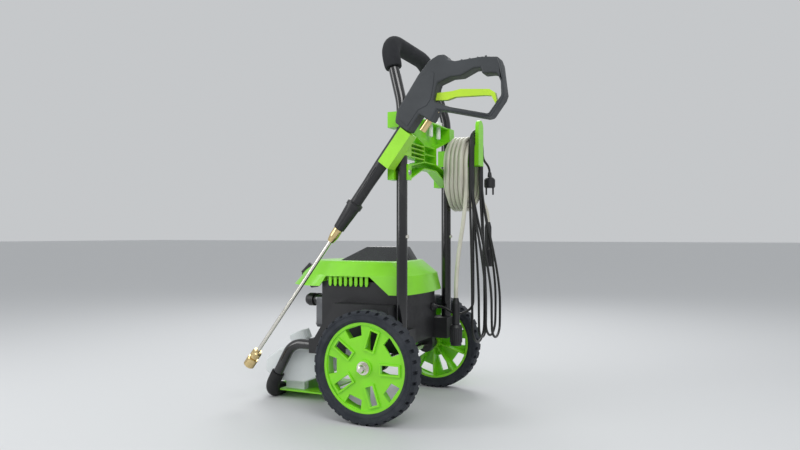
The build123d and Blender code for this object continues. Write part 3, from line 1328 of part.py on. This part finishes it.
node("hose_hook", hose_hook())
coil, coil_path = wound(hose_knots(), HOSE_R)
node("hose_coil", coil)
print("hose coil gap", least_gap(coil_path, 900, 2 * HOSE_R, 60))
near_tail = wound([(TAIL_NEAR, UP), hose_knots()[0]], HOSE_R)[0]
far_tail = wound([hose_knots()[-1], (TAIL_FAR, DOWN)], HOSE_R)[0]
node("hose_tails", near_tail, far_tail)
node("hose_sleeves", hose_sleeve(TAIL_NEAR), hose_sleeve(TAIL_FAR))
node("hose_fitting_near", hose_fitting(TAIL_NEAR))
node("hose_fitting_far", hose_fitting(TAIL_FAR))
node("cord_gland", cord_gland())
node("cord_lead", cord_lead())
hank, hank_path = wound(hank_knots(), CORD_R)
node("cord_hank", hank)
print("cord hank gap", least_gap(hank_path, 1400, 2 * CORD_R, 40))
node("power_plug", power_plug())
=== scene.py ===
import json
import math

import bmesh
import bpy
from mathutils import Matrix, Vector


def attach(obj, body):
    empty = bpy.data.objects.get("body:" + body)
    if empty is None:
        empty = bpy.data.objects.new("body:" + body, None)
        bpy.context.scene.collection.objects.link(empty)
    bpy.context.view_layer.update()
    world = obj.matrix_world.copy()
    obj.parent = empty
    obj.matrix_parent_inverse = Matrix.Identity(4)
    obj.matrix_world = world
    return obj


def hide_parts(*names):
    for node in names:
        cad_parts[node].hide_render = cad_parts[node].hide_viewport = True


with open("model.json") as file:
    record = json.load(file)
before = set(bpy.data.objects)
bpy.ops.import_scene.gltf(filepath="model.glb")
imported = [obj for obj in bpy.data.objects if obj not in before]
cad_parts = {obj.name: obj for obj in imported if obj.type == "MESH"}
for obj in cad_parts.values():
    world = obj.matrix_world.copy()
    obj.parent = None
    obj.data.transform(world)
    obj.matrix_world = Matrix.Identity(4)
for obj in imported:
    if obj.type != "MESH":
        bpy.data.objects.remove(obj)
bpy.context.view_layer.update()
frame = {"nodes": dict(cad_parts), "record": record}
scene = bpy.context.scene
scene.view_settings.view_transform = "Standard"

# Metres, unless a name or heading says millimetres: x to the machine's left, y to its back, z up

AXLE_Y = 0.0245       # the axle's distance behind the origin


def from_axle(points):
    """Points whose y is counted from the axle, put in the frame."""
    return [(x, y + AXLE_Y, z) for x, y, z in points]


# Camera, floor and light

SENSOR_MM = 36
LENS_MM = 29.94
CAMERA_PLACE = Vector((1.5293, 0.6941 + AXLE_Y, 0.4222))
CAMERA_VIEW = Vector((-0.9074, -0.4199, 0.0148))      # the way it looks
FLOOR_REACH = 40
FLOOR_TONE = (0.66, 0.67, 0.68, 1)
FLOOR_ROUGHNESS = 0.7
SKY_TONE = (0.78, 0.80, 0.82, 1)
SKY_STRENGTH = 0.72
LAMP_AIM = (0, -0.05, 0.45)
SOFT_BOXES = {        # place, width and height, power
    "key_box": ((1.6, 1.5, 2.1), (1.4, 1.0), 27),
    "side_box": ((1.6, -1.6, 1.2), (0.9, 1.6), 17),
    "rim_box": ((-1.6, -0.6, 1.9), (1.2, 1.2), 20),
}


def look(place, aim):
    """Turn that points a camera or lamp at a spot."""
    return (Vector(aim) - Vector(place)).to_track_quat("-Z", "Y").to_euler()


def set_camera():
    lens = bpy.data.cameras.new("camera")
    lens.sensor_width = SENSOR_MM
    lens.lens = LENS_MM
    camera = bpy.data.objects.new("camera", lens)
    scene.collection.objects.link(camera)
    camera.location = CAMERA_PLACE
    camera.rotation_euler = look(CAMERA_PLACE, CAMERA_PLACE + CAMERA_VIEW)
    scene.camera = camera


def set_floor():
    """Wide pale floor with a dull finish."""
    mesh = bpy.data.meshes.new("floor")
    bm = bmesh.new()
    bmesh.ops.create_grid(bm, x_segments=1, y_segments=1, size=FLOOR_REACH)
    bm.to_mesh(mesh)
    bm.free()
    floor = bpy.data.objects.new("floor", mesh)
    scene.collection.objects.link(floor)
    tone = bpy.data.materials.new("pale_floor")
    tone.use_nodes = True
    shader = tone.node_tree.nodes["Principled BSDF"]
    shader.inputs["Base Color"].default_value = FLOOR_TONE
    shader.inputs["Roughness"].default_value = FLOOR_ROUGHNESS
    mesh.materials.append(tone)


def set_light():
    """Even sky and three soft boxes."""
    world = bpy.data.worlds.new("studio")
    scene.world = world
    world.use_nodes = True
    back = world.node_tree.nodes["Background"]
    back.inputs["Color"].default_value = SKY_TONE
    back.inputs["Strength"].default_value = SKY_STRENGTH
    for name, (place, size, power) in SOFT_BOXES.items():
        light = bpy.data.lights.new(name, "AREA")
        light.shape = "RECTANGLE"
        light.size, light.size_y = size
        light.energy = power
        lamp = bpy.data.objects.new(name, light)
        scene.collection.objects.link(lamp)
        lamp.location = place
        lamp.rotation_euler = look(place, LAMP_AIM)


# Finishes

def new_finish(name):
    """New material, its node tree and its shader."""
    skin = bpy.data.materials.new(name)
    skin.use_nodes = True
    tree = skin.node_tree
    return skin, tree, tree.nodes["Principled BSDF"]


def place_on(tree, stretch=(1, 1, 1)):
    """Object coordinates, stretched along the axes."""
    where = tree.nodes.new("ShaderNodeTexCoord")
    scale = tree.nodes.new("ShaderNodeMapping")
    scale.inputs["Scale"].default_value = stretch
    tree.links.new(where.outputs["Object"], scale.inputs["Vector"])
    return scale.outputs["Vector"]


def noise(tree, at, scale, detail=4.0, rough=0.55):
    """Cloudy pattern, with its scale counted per metre."""
    cloud = tree.nodes.new("ShaderNodeTexNoise")
    cloud.inputs["Scale"].default_value = scale
    cloud.inputs["Detail"].default_value = detail
    cloud.inputs["Roughness"].default_value = rough
    tree.links.new(at, cloud.inputs["Vector"])
    return cloud.outputs["Fac"]


def between(tree, value, low, high, start=0.3, end=0.7):
    """Value carried from one range to another, held at its ends."""
    carry = tree.nodes.new("ShaderNodeMapRange")
    for socket, number in (("From Min", start), ("From Max", end), ("To Min", low), ("To Max", high)):
        carry.inputs[socket].default_value = number
    tree.links.new(value, carry.inputs["Value"])
    return carry.outputs["Result"]


def two_tone(tree, value, first, second, start=0.3, end=0.7):
    """One colour where the value is low, fading to another where it is high."""
    ramp = tree.nodes.new("ShaderNodeValToRGB")
    low, high = ramp.color_ramp.elements
    low.position, high.position = start, end
    low.color, high.color = (*first, 1), (*second, 1)
    tree.links.new(value, ramp.inputs["Fac"])
    return ramp.outputs["Color"]


def raise_by(tree, value, depth, strength):
    """Fine relief where the value is high."""
    bump = tree.nodes.new("ShaderNodeBump")
    bump.inputs["Distance"].default_value = depth
    bump.inputs["Strength"].default_value = strength
    tree.links.new(value, bump.inputs["Height"])
    return bump.outputs["Normal"]


def moulded(name, colour, rough, grain=900, depth=0.00025, vary=0.12, coat=0.0):
    """Moulded plastic: a fine grain, faint flow marks and a few duller patches."""
    skin, tree, shader = new_finish(name)
    at = place_on(tree)
    flow = noise(tree, at, scale=14, detail=3)
    dark = [c * (1 - vary) for c in colour]
    light = [min(1, c * (1 + vary)) for c in colour]
    tree.links.new(two_tone(tree, flow, dark, light), shader.inputs["Base Color"])
    dust = noise(tree, at, scale=55, detail=6, rough=0.65)
    dulled = between(tree, dust, low=rough * 0.85, high=min(1, rough * 1.2))
    tree.links.new(dulled, shader.inputs["Roughness"])
    pits = noise(tree, at, scale=grain, detail=2)
    tree.links.new(raise_by(tree, pits, depth, strength=0.35), shader.inputs["Normal"])
    shader.inputs["Coat Weight"].default_value = coat
    shader.inputs["Coat Roughness"].default_value = 0.18
    return skin


def rubber(name, colour, worn, rough, grain, depth):
    """Rubber or foam: dull, pitted, a little greyer where it is rubbed."""
    skin, tree, shader = new_finish(name)
    at = place_on(tree)
    rubbed = noise(tree, at, scale=32, detail=5, rough=0.7)
    greyed = two_tone(tree, rubbed, colour, worn, start=0.42, end=0.78)
    tree.links.new(greyed, shader.inputs["Base Color"])
    dulled = between(tree, rubbed, low=rough, high=min(1, rough + 0.12))
    tree.links.new(dulled, shader.inputs["Roughness"])
    pits = noise(tree, at, scale=grain, detail=5, rough=0.6)
    tree.links.new(raise_by(tree, pits, depth, strength=0.6), shader.inputs["Normal"])
    shader.inputs["Specular IOR Level"].default_value = 0.35
    return skin


def metal(name, colour, rough, stretch=(1, 1, 1), streak=0.3, relief=0.12):
    """Metal with fine tool marks, stretched along the axes, and darker stains."""
    skin, tree, shader = new_finish(name)
    marks = noise(tree, place_on(tree, stretch), scale=120, detail=3)
    stain = noise(tree, place_on(tree), scale=30, detail=4)
    dark = [c * (1 - streak) for c in colour]
    stained = two_tone(tree, stain, dark, colour, start=0.25, end=0.6)
    tree.links.new(stained, shader.inputs["Base Color"])
    polished = between(tree, marks, low=rough * 0.7, high=rough * 1.4)
    tree.links.new(polished, shader.inputs["Roughness"])
    tree.links.new(raise_by(tree, marks, depth=0.0001, strength=relief), shader.inputs["Normal"])
    shader.inputs["Metallic"].default_value = 1.0
    return skin


def painted(name, colour, rough):
    """Gloss paint on tube: orange peel, faint scuffs."""
    skin, tree, shader = new_finish(name)
    at = place_on(tree)
    scuff = noise(tree, place_on(tree, stretch=(1, 1, 0.25)), scale=40, detail=3, rough=0.6)
    pale = [c + 0.03 for c in colour]
    scuffed = two_tone(tree, scuff, colour, pale, start=0.55, end=0.85)
    tree.links.new(scuffed, shader.inputs["Base Color"])
    dulled = between(tree, scuff, low=rough, high=rough + 0.08, start=0.4, end=0.8)
    tree.links.new(dulled, shader.inputs["Roughness"])
    peel = noise(tree, at, scale=420, detail=2)
    tree.links.new(raise_by(tree, peel, depth=0.0001, strength=0.04), shader.inputs["Normal"])
    shader.inputs["Coat Weight"].default_value = 0.6
    shader.inputs["Coat Roughness"].default_value = 0.08
    return skin


def milky(name, colour):
    """Blow-moulded milky plastic that lets some light through."""
    skin, tree, shader = new_finish(name)
    at = place_on(tree)
    cloud = noise(tree, at, scale=9, detail=3)
    deep = [c * 0.86 for c in colour]
    tree.links.new(two_tone(tree, cloud, deep, colour), shader.inputs["Base Color"])
    dulled = between(tree, noise(tree, at, scale=60, detail=5), low=0.28, high=0.46)
    tree.links.new(dulled, shader.inputs["Roughness"])
    waves = noise(tree, at, scale=260, detail=3)
    tree.links.new(raise_by(tree, waves, depth=0.0003, strength=0.2), shader.inputs["Normal"])
    shader.inputs["Subsurface Weight"].default_value = 0.35
    shader.inputs["Subsurface Radius"].default_value = (0.02, 0.02, 0.02)
    shader.inputs["Transmission Weight"].default_value = 0.12
    return skin


FINISHES = {          # by the record's material slots
    "tyre": rubber("tyre_rubber", (0.022, 0.026, 0.034), worn=(0.05, 0.055, 0.065),
                   rough=0.72, grain=700, depth=0.0006),
    "green_plastic": moulded("lime_plastic_gloss", (0.235, 0.72, 0.012), rough=0.34, vary=0.07, coat=0.25),
    "chrome_steel": metal("bright_plated_steel", (0.80, 0.77, 0.70), rough=0.2,
                          stretch=(0.2, 0.2, 0.2), streak=0.08, relief=0.01),
    "black_plastic": moulded("black_plastic_grain", (0.016, 0.016, 0.018), rough=0.42,
                             grain=700, depth=0.0004, vary=0.25),
    "black_tube": painted("gloss_black_tube", (0.006, 0.006, 0.007), rough=0.16),
    "foam": rubber("grip_foam", (0.020, 0.021, 0.024), worn=(0.034, 0.036, 0.04),
                   rough=0.86, grain=1100, depth=0.0009),
    "boot_rubber": rubber("boot_rubber", (0.010, 0.010, 0.011), worn=(0.03, 0.03, 0.03),
                          rough=0.62, grain=500, depth=0.0004),
    "motor_steel": metal("plain_steel", (0.46, 0.46, 0.47), rough=0.34, stretch=(6, 1, 6)),
    # cast alloy, its colour taken well below bare metal as painted shade for the shade that falls between the
    # lance and the housing
    "cast_alloy": metal("cast_alloy", (0.19, 0.195, 0.205), rough=0.46, streak=0.35),
    "brass": metal("turned_brass", (0.78, 0.60, 0.30), rough=0.24,
                   stretch=(0.4, 0.4, 0.4), streak=0.22, relief=0.03),
    "tank_plastic": milky("milky_tank", (0.82, 0.86, 0.86)),
    "white_plastic": moulded("white_tip_plastic", (0.78, 0.78, 0.76), rough=0.35, vary=0.06),
    "gun_plastic": moulded("slate_gun_plastic", (0.040, 0.045, 0.050), rough=0.52,
                           grain=800, depth=0.0005, vary=0.18),
    "lime_plastic": moulded("yellow_lime_trigger", (0.50, 0.78, 0.03), rough=0.36, vary=0.06, coat=0.2),
    "hose_skin": moulded("cream_hose", (0.60, 0.58, 0.49), rough=0.40, grain=300, depth=0.0003),
    "cord_skin": moulded("black_cord", (0.010, 0.010, 0.010), rough=0.38,
                         grain=300, depth=0.0002, vary=0.3),
}
OWN_FINISHES = {      # by node, where a piece differs from the rest of its slot
    "gun_holder": moulded("trough_lime", (0.33, 0.76, 0.03), rough=0.36, vary=0.06, coat=0.2),
    "top_hood": moulded("smoked_hood", (0.020, 0.022, 0.024), rough=0.26,
                        grain=500, depth=0.00002, vary=0.2, coat=0.5),
}


def dress_solids():
    """Each solid in its own finish, or else in its slot's."""
    for entry in frame["record"]["subparts"]:
        node = entry["node"]
        materials = frame["nodes"][node].data.materials
        materials.clear()
        materials.append(OWN_FINISHES.get(node, FINISHES[entry["material_slot"]]))


# Hose, mains cord and foam grip, each one smooth line

def smooth_line(name, points, thickness, slot, solids, facets=5, end_width=1.0):
    """Round line on the frame, along a spline with these control points, in place of these solids."""
    curve = bpy.data.curves.new(name, "CURVE")
    curve.dimensions = "3D"
    curve.bevel_depth = thickness / 2
    curve.bevel_resolution = facets
    curve.use_fill_caps = True
    spline = curve.splines.new("NURBS")
    spline.points.add(len(points) - 1)
    for knot, point in zip(spline.points, points):
        knot.co = (*point, 1)
    spline.points[0].radius = spline.points[-1].radius = end_width
    spline.order_u = 3
    spline.use_endpoint_u = True
    spline.resolution_u = 8
    curve.materials.append(FINISHES[slot])
    piece = bpy.data.objects.new(name, curve)
    scene.collection.objects.link(piece)
    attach(piece, "frame")
    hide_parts(*solids)
    return piece


HOOK_X = -0.142
BEND_KNOTS = 6                          # control points round half a turn
BEND_STEP = math.pi / BEND_KNOTS
ROUND = 1 / math.cos(BEND_STEP / 2)     # how much wider than the turn its control points lie


def half_turn(side, radius_from, radius_to, y_from, y_to, z):
    """Control points of half a turn: over the hook from the left for side 1, back under it for -1."""
    middle = HOOK_X + side * (radius_from - radius_to) / 2
    radius = side * (radius_from + radius_to) / 2 * ROUND
    points = []
    for knot in range(BEND_KNOTS):
        angle = (knot + 0.5) * BEND_STEP
        y = y_from + (y_to - y_from) * angle / math.pi
        points.append((middle + radius * math.cos(angle), y, z + radius * math.sin(angle)))
    return points


HOSE_D = 0.0105
HOSE_TURNS = 5                          # side by side in each of two layers
HOSE_STEP = 0.01095                     # from one turn to the next
HOSE_FRONT = 0.0790 + AXLE_Y
HOSE_BACK = HOSE_FRONT + HOSE_TURNS * HOSE_STEP
HOSE_INNER, HOSE_OUTER = 0.062, 0.0732  # radius of each layer
HOSE_UP, HOSE_DOWN = 0.60255, 0.56255   # middles of the upper and lower bends
HOSE_MIDDLE = (HOSE_UP + HOSE_DOWN) / 2
NEAR_TAIL = from_axle([(-0.070, 0.111, 0.262), (-0.070, 0.111, 0.337)])
NEAR_RISE = (HOOK_X + HOSE_INNER, HOSE_BACK, 0.487)
FAR_DROP = [(HOOK_X - HOSE_OUTER, HOSE_BACK - HOSE_STEP, z) for z in (HOSE_MIDDLE, 0.532)]
FAR_TAIL = from_axle([(-0.218, 0.150, 0.487), (-0.218, 0.150, 0.457)])


def hose_bend(side, radius_from, radius_to, y_from, y_to):
    """Control points from halfway up one side of the coil round a bend to its other side."""
    start = (HOOK_X + side * radius_from, y_from, HOSE_MIDDLE)
    z = HOSE_UP if side > 0 else HOSE_DOWN
    return [start] + half_turn(side, radius_from, radius_to, y_from, y_to, z)


def hose_points():
    """From the near fitting forwards through the inner layer, back over it in the outer layer, and down."""
    points = NEAR_TAIL + [NEAR_RISE]
    for turn in range(HOSE_TURNS):
        y = HOSE_BACK - turn * HOSE_STEP
        points += hose_bend(1, HOSE_INNER, HOSE_INNER, y, y)
        points += hose_bend(-1, HOSE_INNER, HOSE_INNER, y, y - HOSE_STEP)
    points += hose_bend(1, HOSE_INNER, HOSE_OUTER, HOSE_FRONT, HOSE_FRONT)
    for turn in range(1, HOSE_TURNS):
        y = HOSE_FRONT + turn * HOSE_STEP
        points += hose_bend(-1, HOSE_OUTER, HOSE_OUTER, y - HOSE_STEP, y)
        points += hose_bend(1, HOSE_OUTER, HOSE_OUTER, y, y)
    return points + FAR_DROP + FAR_TAIL


CORD_D = 0.0062
CORD_FRONT = 0.1424 + AXLE_Y
CORD_UP = 0.64192                       # middle of the bends on the hook
CORD_RISE = CORD_UP - 0.06              # a point on each strand below its bend
CORD_HIGH = CORD_UP - 0.11              # where a loop leaves the hank
CORD_DRAW = 0.11                        # straight stretch above a loop's foot
CORD_INNER, CORD_STEP = 0.027, 0.0068   # radius of the first bend on the hook, and what each next one adds
CORD_FEET = [(0.1594, 0.187), (0.1954, 0.196), (0.1814, 0.207), (0.1484, 0.194)]    # y from the axle, z
CORD_RADII = [CORD_INNER + CORD_STEP * turn for turn in range(len(CORD_FEET) + 1)]
GLAND_LEAD = from_axle([(-0.088, 0.054, 0.235), (-0.088, 0.074, 0.235), (-0.092, 0.094, 0.219),
                        (-0.102, 0.118, 0.218), (-0.111, 0.143, 0.2355)])
LEAD_RISE = [(HOOK_X + CORD_RADII[0], CORD_FRONT, z) for z in (0.266, 0.420)]
HANK_END = (HOOK_X - CORD_RADII[-1], CORD_FRONT, 0.626)
PLUG_LEAD = from_axle([(-0.2158, 0.1553, 0.606), (-0.2158, 0.1553, 0.592)])


def cord_bend(radius):
    """Control points up to the hook and over it."""
    rise = (HOOK_X + radius, CORD_FRONT, CORD_RISE)
    return [rise] + half_turn(1, radius, radius, CORD_FRONT, CORD_FRONT, CORD_UP)


def cord_points():
    """Out of the gland, a dip, then up into the hank and round its hanging loops to the plug."""
    points = GLAND_LEAD + LEAD_RISE + cord_bend(CORD_RADII[0])
    for radius, after, (behind, foot) in zip(CORD_RADII, CORD_RADII[1:], CORD_FEET):
        y = behind + AXLE_Y
        low = foot + CORD_DRAW
        points += [(HOOK_X - radius, CORD_FRONT, CORD_HIGH), (HOOK_X - radius, y, low)]
        points += half_turn(-1, radius, after, y, y, foot)
        points += [(HOOK_X + after, y, low), (HOOK_X + after, CORD_FRONT, CORD_HIGH)]
        points += cord_bend(after)
    return points + [HANK_END] + PLUG_LEAD


def hang_cords():
    """Hose and mains cord, each one smooth line in place of its solids."""
    hose = smooth_line("hose_line", hose_points(), HOSE_D, "hose_skin", ["hose_coil", "hose_tails"])
    cord = smooth_line("mains_cord", cord_points(), CORD_D, "cord_skin", ["cord_lead", "cord_hank"])


GRIP_D = 0.042
GRIP_END = Vector((0.13197, 0.03138 + AXLE_Y, 0.812))
GRIP_CORNER = Vector((0.124, 0.011 + AXLE_Y, 0.882))
GRIP_LIP = 0.003                        # over which its cut ends narrow
GRIP_PINCH = 0.90                       # share of its width left there
BEND_REACH = 0.0556                     # from the corner to where the bend meets the bar
BEND_CUT = 0.0317                       # from the corner to the bend's own control points


def foam_grip():
    """Foam sleeve round the cross bar, a little narrower at its cut ends."""
    leg = (GRIP_END - GRIP_CORNER).normalized()
    bar = Vector((-1, 0, 0))
    half = [GRIP_END, GRIP_END - leg * GRIP_LIP, GRIP_CORNER + leg * BEND_CUT, GRIP_CORNER + bar * BEND_CUT,
            GRIP_CORNER + bar * (2 * BEND_REACH - BEND_CUT)]
    points = half + [Vector((-p.x, p.y, p.z)) for p in reversed(half)]
    grip = smooth_line("foam_sleeve", points, GRIP_D, "foam", ["handle_grip"], facets=8, end_width=GRIP_PINCH)


# Pieces made as meshes

def finish_mesh(name, bm, body, slot, rounding=0.0, segments=3):
    """Piece from a bmesh, with rounded edges where asked for."""
    bmesh.ops.recalc_face_normals(bm, faces=bm.faces[:])
    mesh = bpy.data.meshes.new(name)
    bm.to_mesh(mesh)
    bm.free()
    mesh.materials.append(FINISHES[slot])
    piece = bpy.data.objects.new(name, mesh)
    scene.collection.objects.link(piece)
    for face in mesh.polygons:
        face.use_smooth = True
    if rounding:
        edge = piece.modifiers.new("rounded_edges", "BEVEL")
        edge.width = rounding
        edge.segments = segments
        edge.limit_method = "ANGLE"
        edge.angle_limit = math.radians(35)
        edge.harden_normals = True
    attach(piece, body)
    return piece


# Gun: its outlines are in millimetres, y and z from the middle of its trough

GUN_X, GUN_Y, GUN_Z = 0.1790, 0.057 + AXLE_Y, 0.627
GUN_HALF = 0.018
GUN_EDGE = [(38.55, 20.9), (6.74, 45.15), (11, 70), (64, 147), (90, 175), (109, 184), (126, 184),
            (133, 172), (148, 167), (209, 170), (244, 166), (250, 150), (258, 87), (254, 76), (228, 41),
            (217, 40), (127, 62), (107, 66), (93, 40), (74, 54), (66, 58)]
FINGER_GAP = [(109, 123), (138, 133), (162, 133), (191, 146), (206, 146), (209, 133), (230, 133), (242, 130),
              (249, 114), (250, 85), (222, 49), (136, 70), (100, 85), (107, 118)]
SIDE_PANEL = [(19, 64), (20, 50), (38, 34), (64, 68), (84, 76), (94, 90), (100, 120), (102, 146), (92, 152),
              (72, 138)]
PANEL_RISE = 0.0012
RIB_COUNT = 4
RIB_SIZE = (0.0135, 0.0042, 0.0050)
RIB_SIDE = 0.0065                       # from the gun's middle
RIB_Y, RIB_Z = 0.160, 0.1675            # the first rib's place
RIB_STEP, RIB_CLIMB = 0.018, 0.0008     # from one rib back and up to the next
RIB_SLANT = math.radians(28)


def loop_of(bm, outline, x):
    """Closed loop of edges in the gun's plane."""
    corners = [bm.verts.new((x, GUN_Y + y / 1000, GUN_Z + z / 1000)) for y, z in outline]
    return [bm.edges.new((a, b)) for a, b in zip(corners, corners[1:] + corners[:1])]


def thicken(bm, faces, reach):
    """Flat faces drawn out along x."""
    grown = bmesh.ops.extrude_face_region(bm, geom=faces)
    moved = [v for v in grown["geom"] if isinstance(v, bmesh.types.BMVert)]
    bmesh.ops.translate(bm, vec=(reach, 0, 0), verts=moved)


def gun_body():
    """Moulded body, grip and guard of the gun, with softly rounded edges."""
    bm = bmesh.new()
    edges = loop_of(bm, GUN_EDGE, GUN_X - GUN_HALF) + loop_of(bm, FINGER_GAP, GUN_X - GUN_HALF)
    bmesh.ops.triangle_fill(bm, edges=edges, use_beauty=True)
    thicken(bm, bm.faces[:], 2 * GUN_HALF)
    body = finish_mesh("gun_moulding", bm, "gun", "gun_plastic", rounding=0.0045, segments=4)
    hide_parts("gun_shell_left", "gun_shell_right")


def side_panels():
    """Low raised panel on each side of the gun's body."""
    bm = bmesh.new()
    for side in (-1, 1):
        edges = loop_of(bm, SIDE_PANEL, GUN_X + side * (GUN_HALF - PANEL_RISE))
        panel = bmesh.ops.contextual_create(bm, geom=edges)
        thicken(bm, panel["faces"], side * 2 * PANEL_RISE)
    finish_mesh("gun_side_panels", bm, "gun", "gun_plastic", rounding=0.0009)


def grip_ribs():
    """Slanted finger ribs across the top of the gun's grip."""
    bm = bmesh.new()
    for index in range(RIB_COUNT):
        y = GUN_Y + RIB_Y + RIB_STEP * index
        z = GUN_Z + RIB_Z + RIB_CLIMB * index
        for side in (-1, 1):
            spot = Matrix.Translation((GUN_X + side * RIB_SIDE, y, z))
            turn = Matrix.Rotation(side * RIB_SLANT, 4, "Z")
            size = Matrix.Diagonal((*RIB_SIZE, 1))
            bmesh.ops.create_cube(bm, size=1.0, matrix=spot @ turn @ size)
    finish_mesh("grip_ribs", bm, "gun", "gun_plastic", rounding=0.0012, segments=2)


# Rings on the tyres

WHEEL_X, WHEEL_Z = 0.207, 0.127
TYRE_HALF = 0.021                       # from a wheel's middle to its wall
RINGS = [(0.1085, 0.0016), (0.1185, 0.0012)]          # radius and half width at the foot
RING_RISE, RING_SINK = 0.0008, 0.0006   # above and below the wall
RING_STEPS = 96


def tyre_rings(name, side):
    """Two low moulded rings on each wall of a tyre."""
    bm = bmesh.new()
    axle = Vector((0, AXLE_Y, WHEEL_Z))
    for wall in (-1, 1):
        face = side * WHEEL_X + wall * TYRE_HALF
        foot, top = face - wall * RING_SINK, face + wall * RING_RISE
        for radius, wide in RINGS:
            section = [(foot, radius - wide), (top, radius - wide / 2),
                       (top, radius + wide / 2), (foot, radius + wide)]
            ring = [bm.verts.new((x, AXLE_Y, WHEEL_Z + r)) for x, r in section]
            edges = [bm.edges.new((a, b)) for a, b in zip(ring, ring[1:] + ring[:1])]
            bmesh.ops.spin(bm, geom=ring + edges, cent=axle, axis=(1, 0, 0), angle=2 * math.pi,
                           steps=RING_STEPS, use_merge=True)
    finish_mesh(f"tyre_rings_{name}", bm, f"wheel_{name}", "tyre")


set_camera()
set_floor()
set_light()
dress_solids()
hang_cords()
foam_grip()
gun_body()
side_panels()
grip_ribs()
tyre_rings("left", 1)
tyre_rings("right", -1)
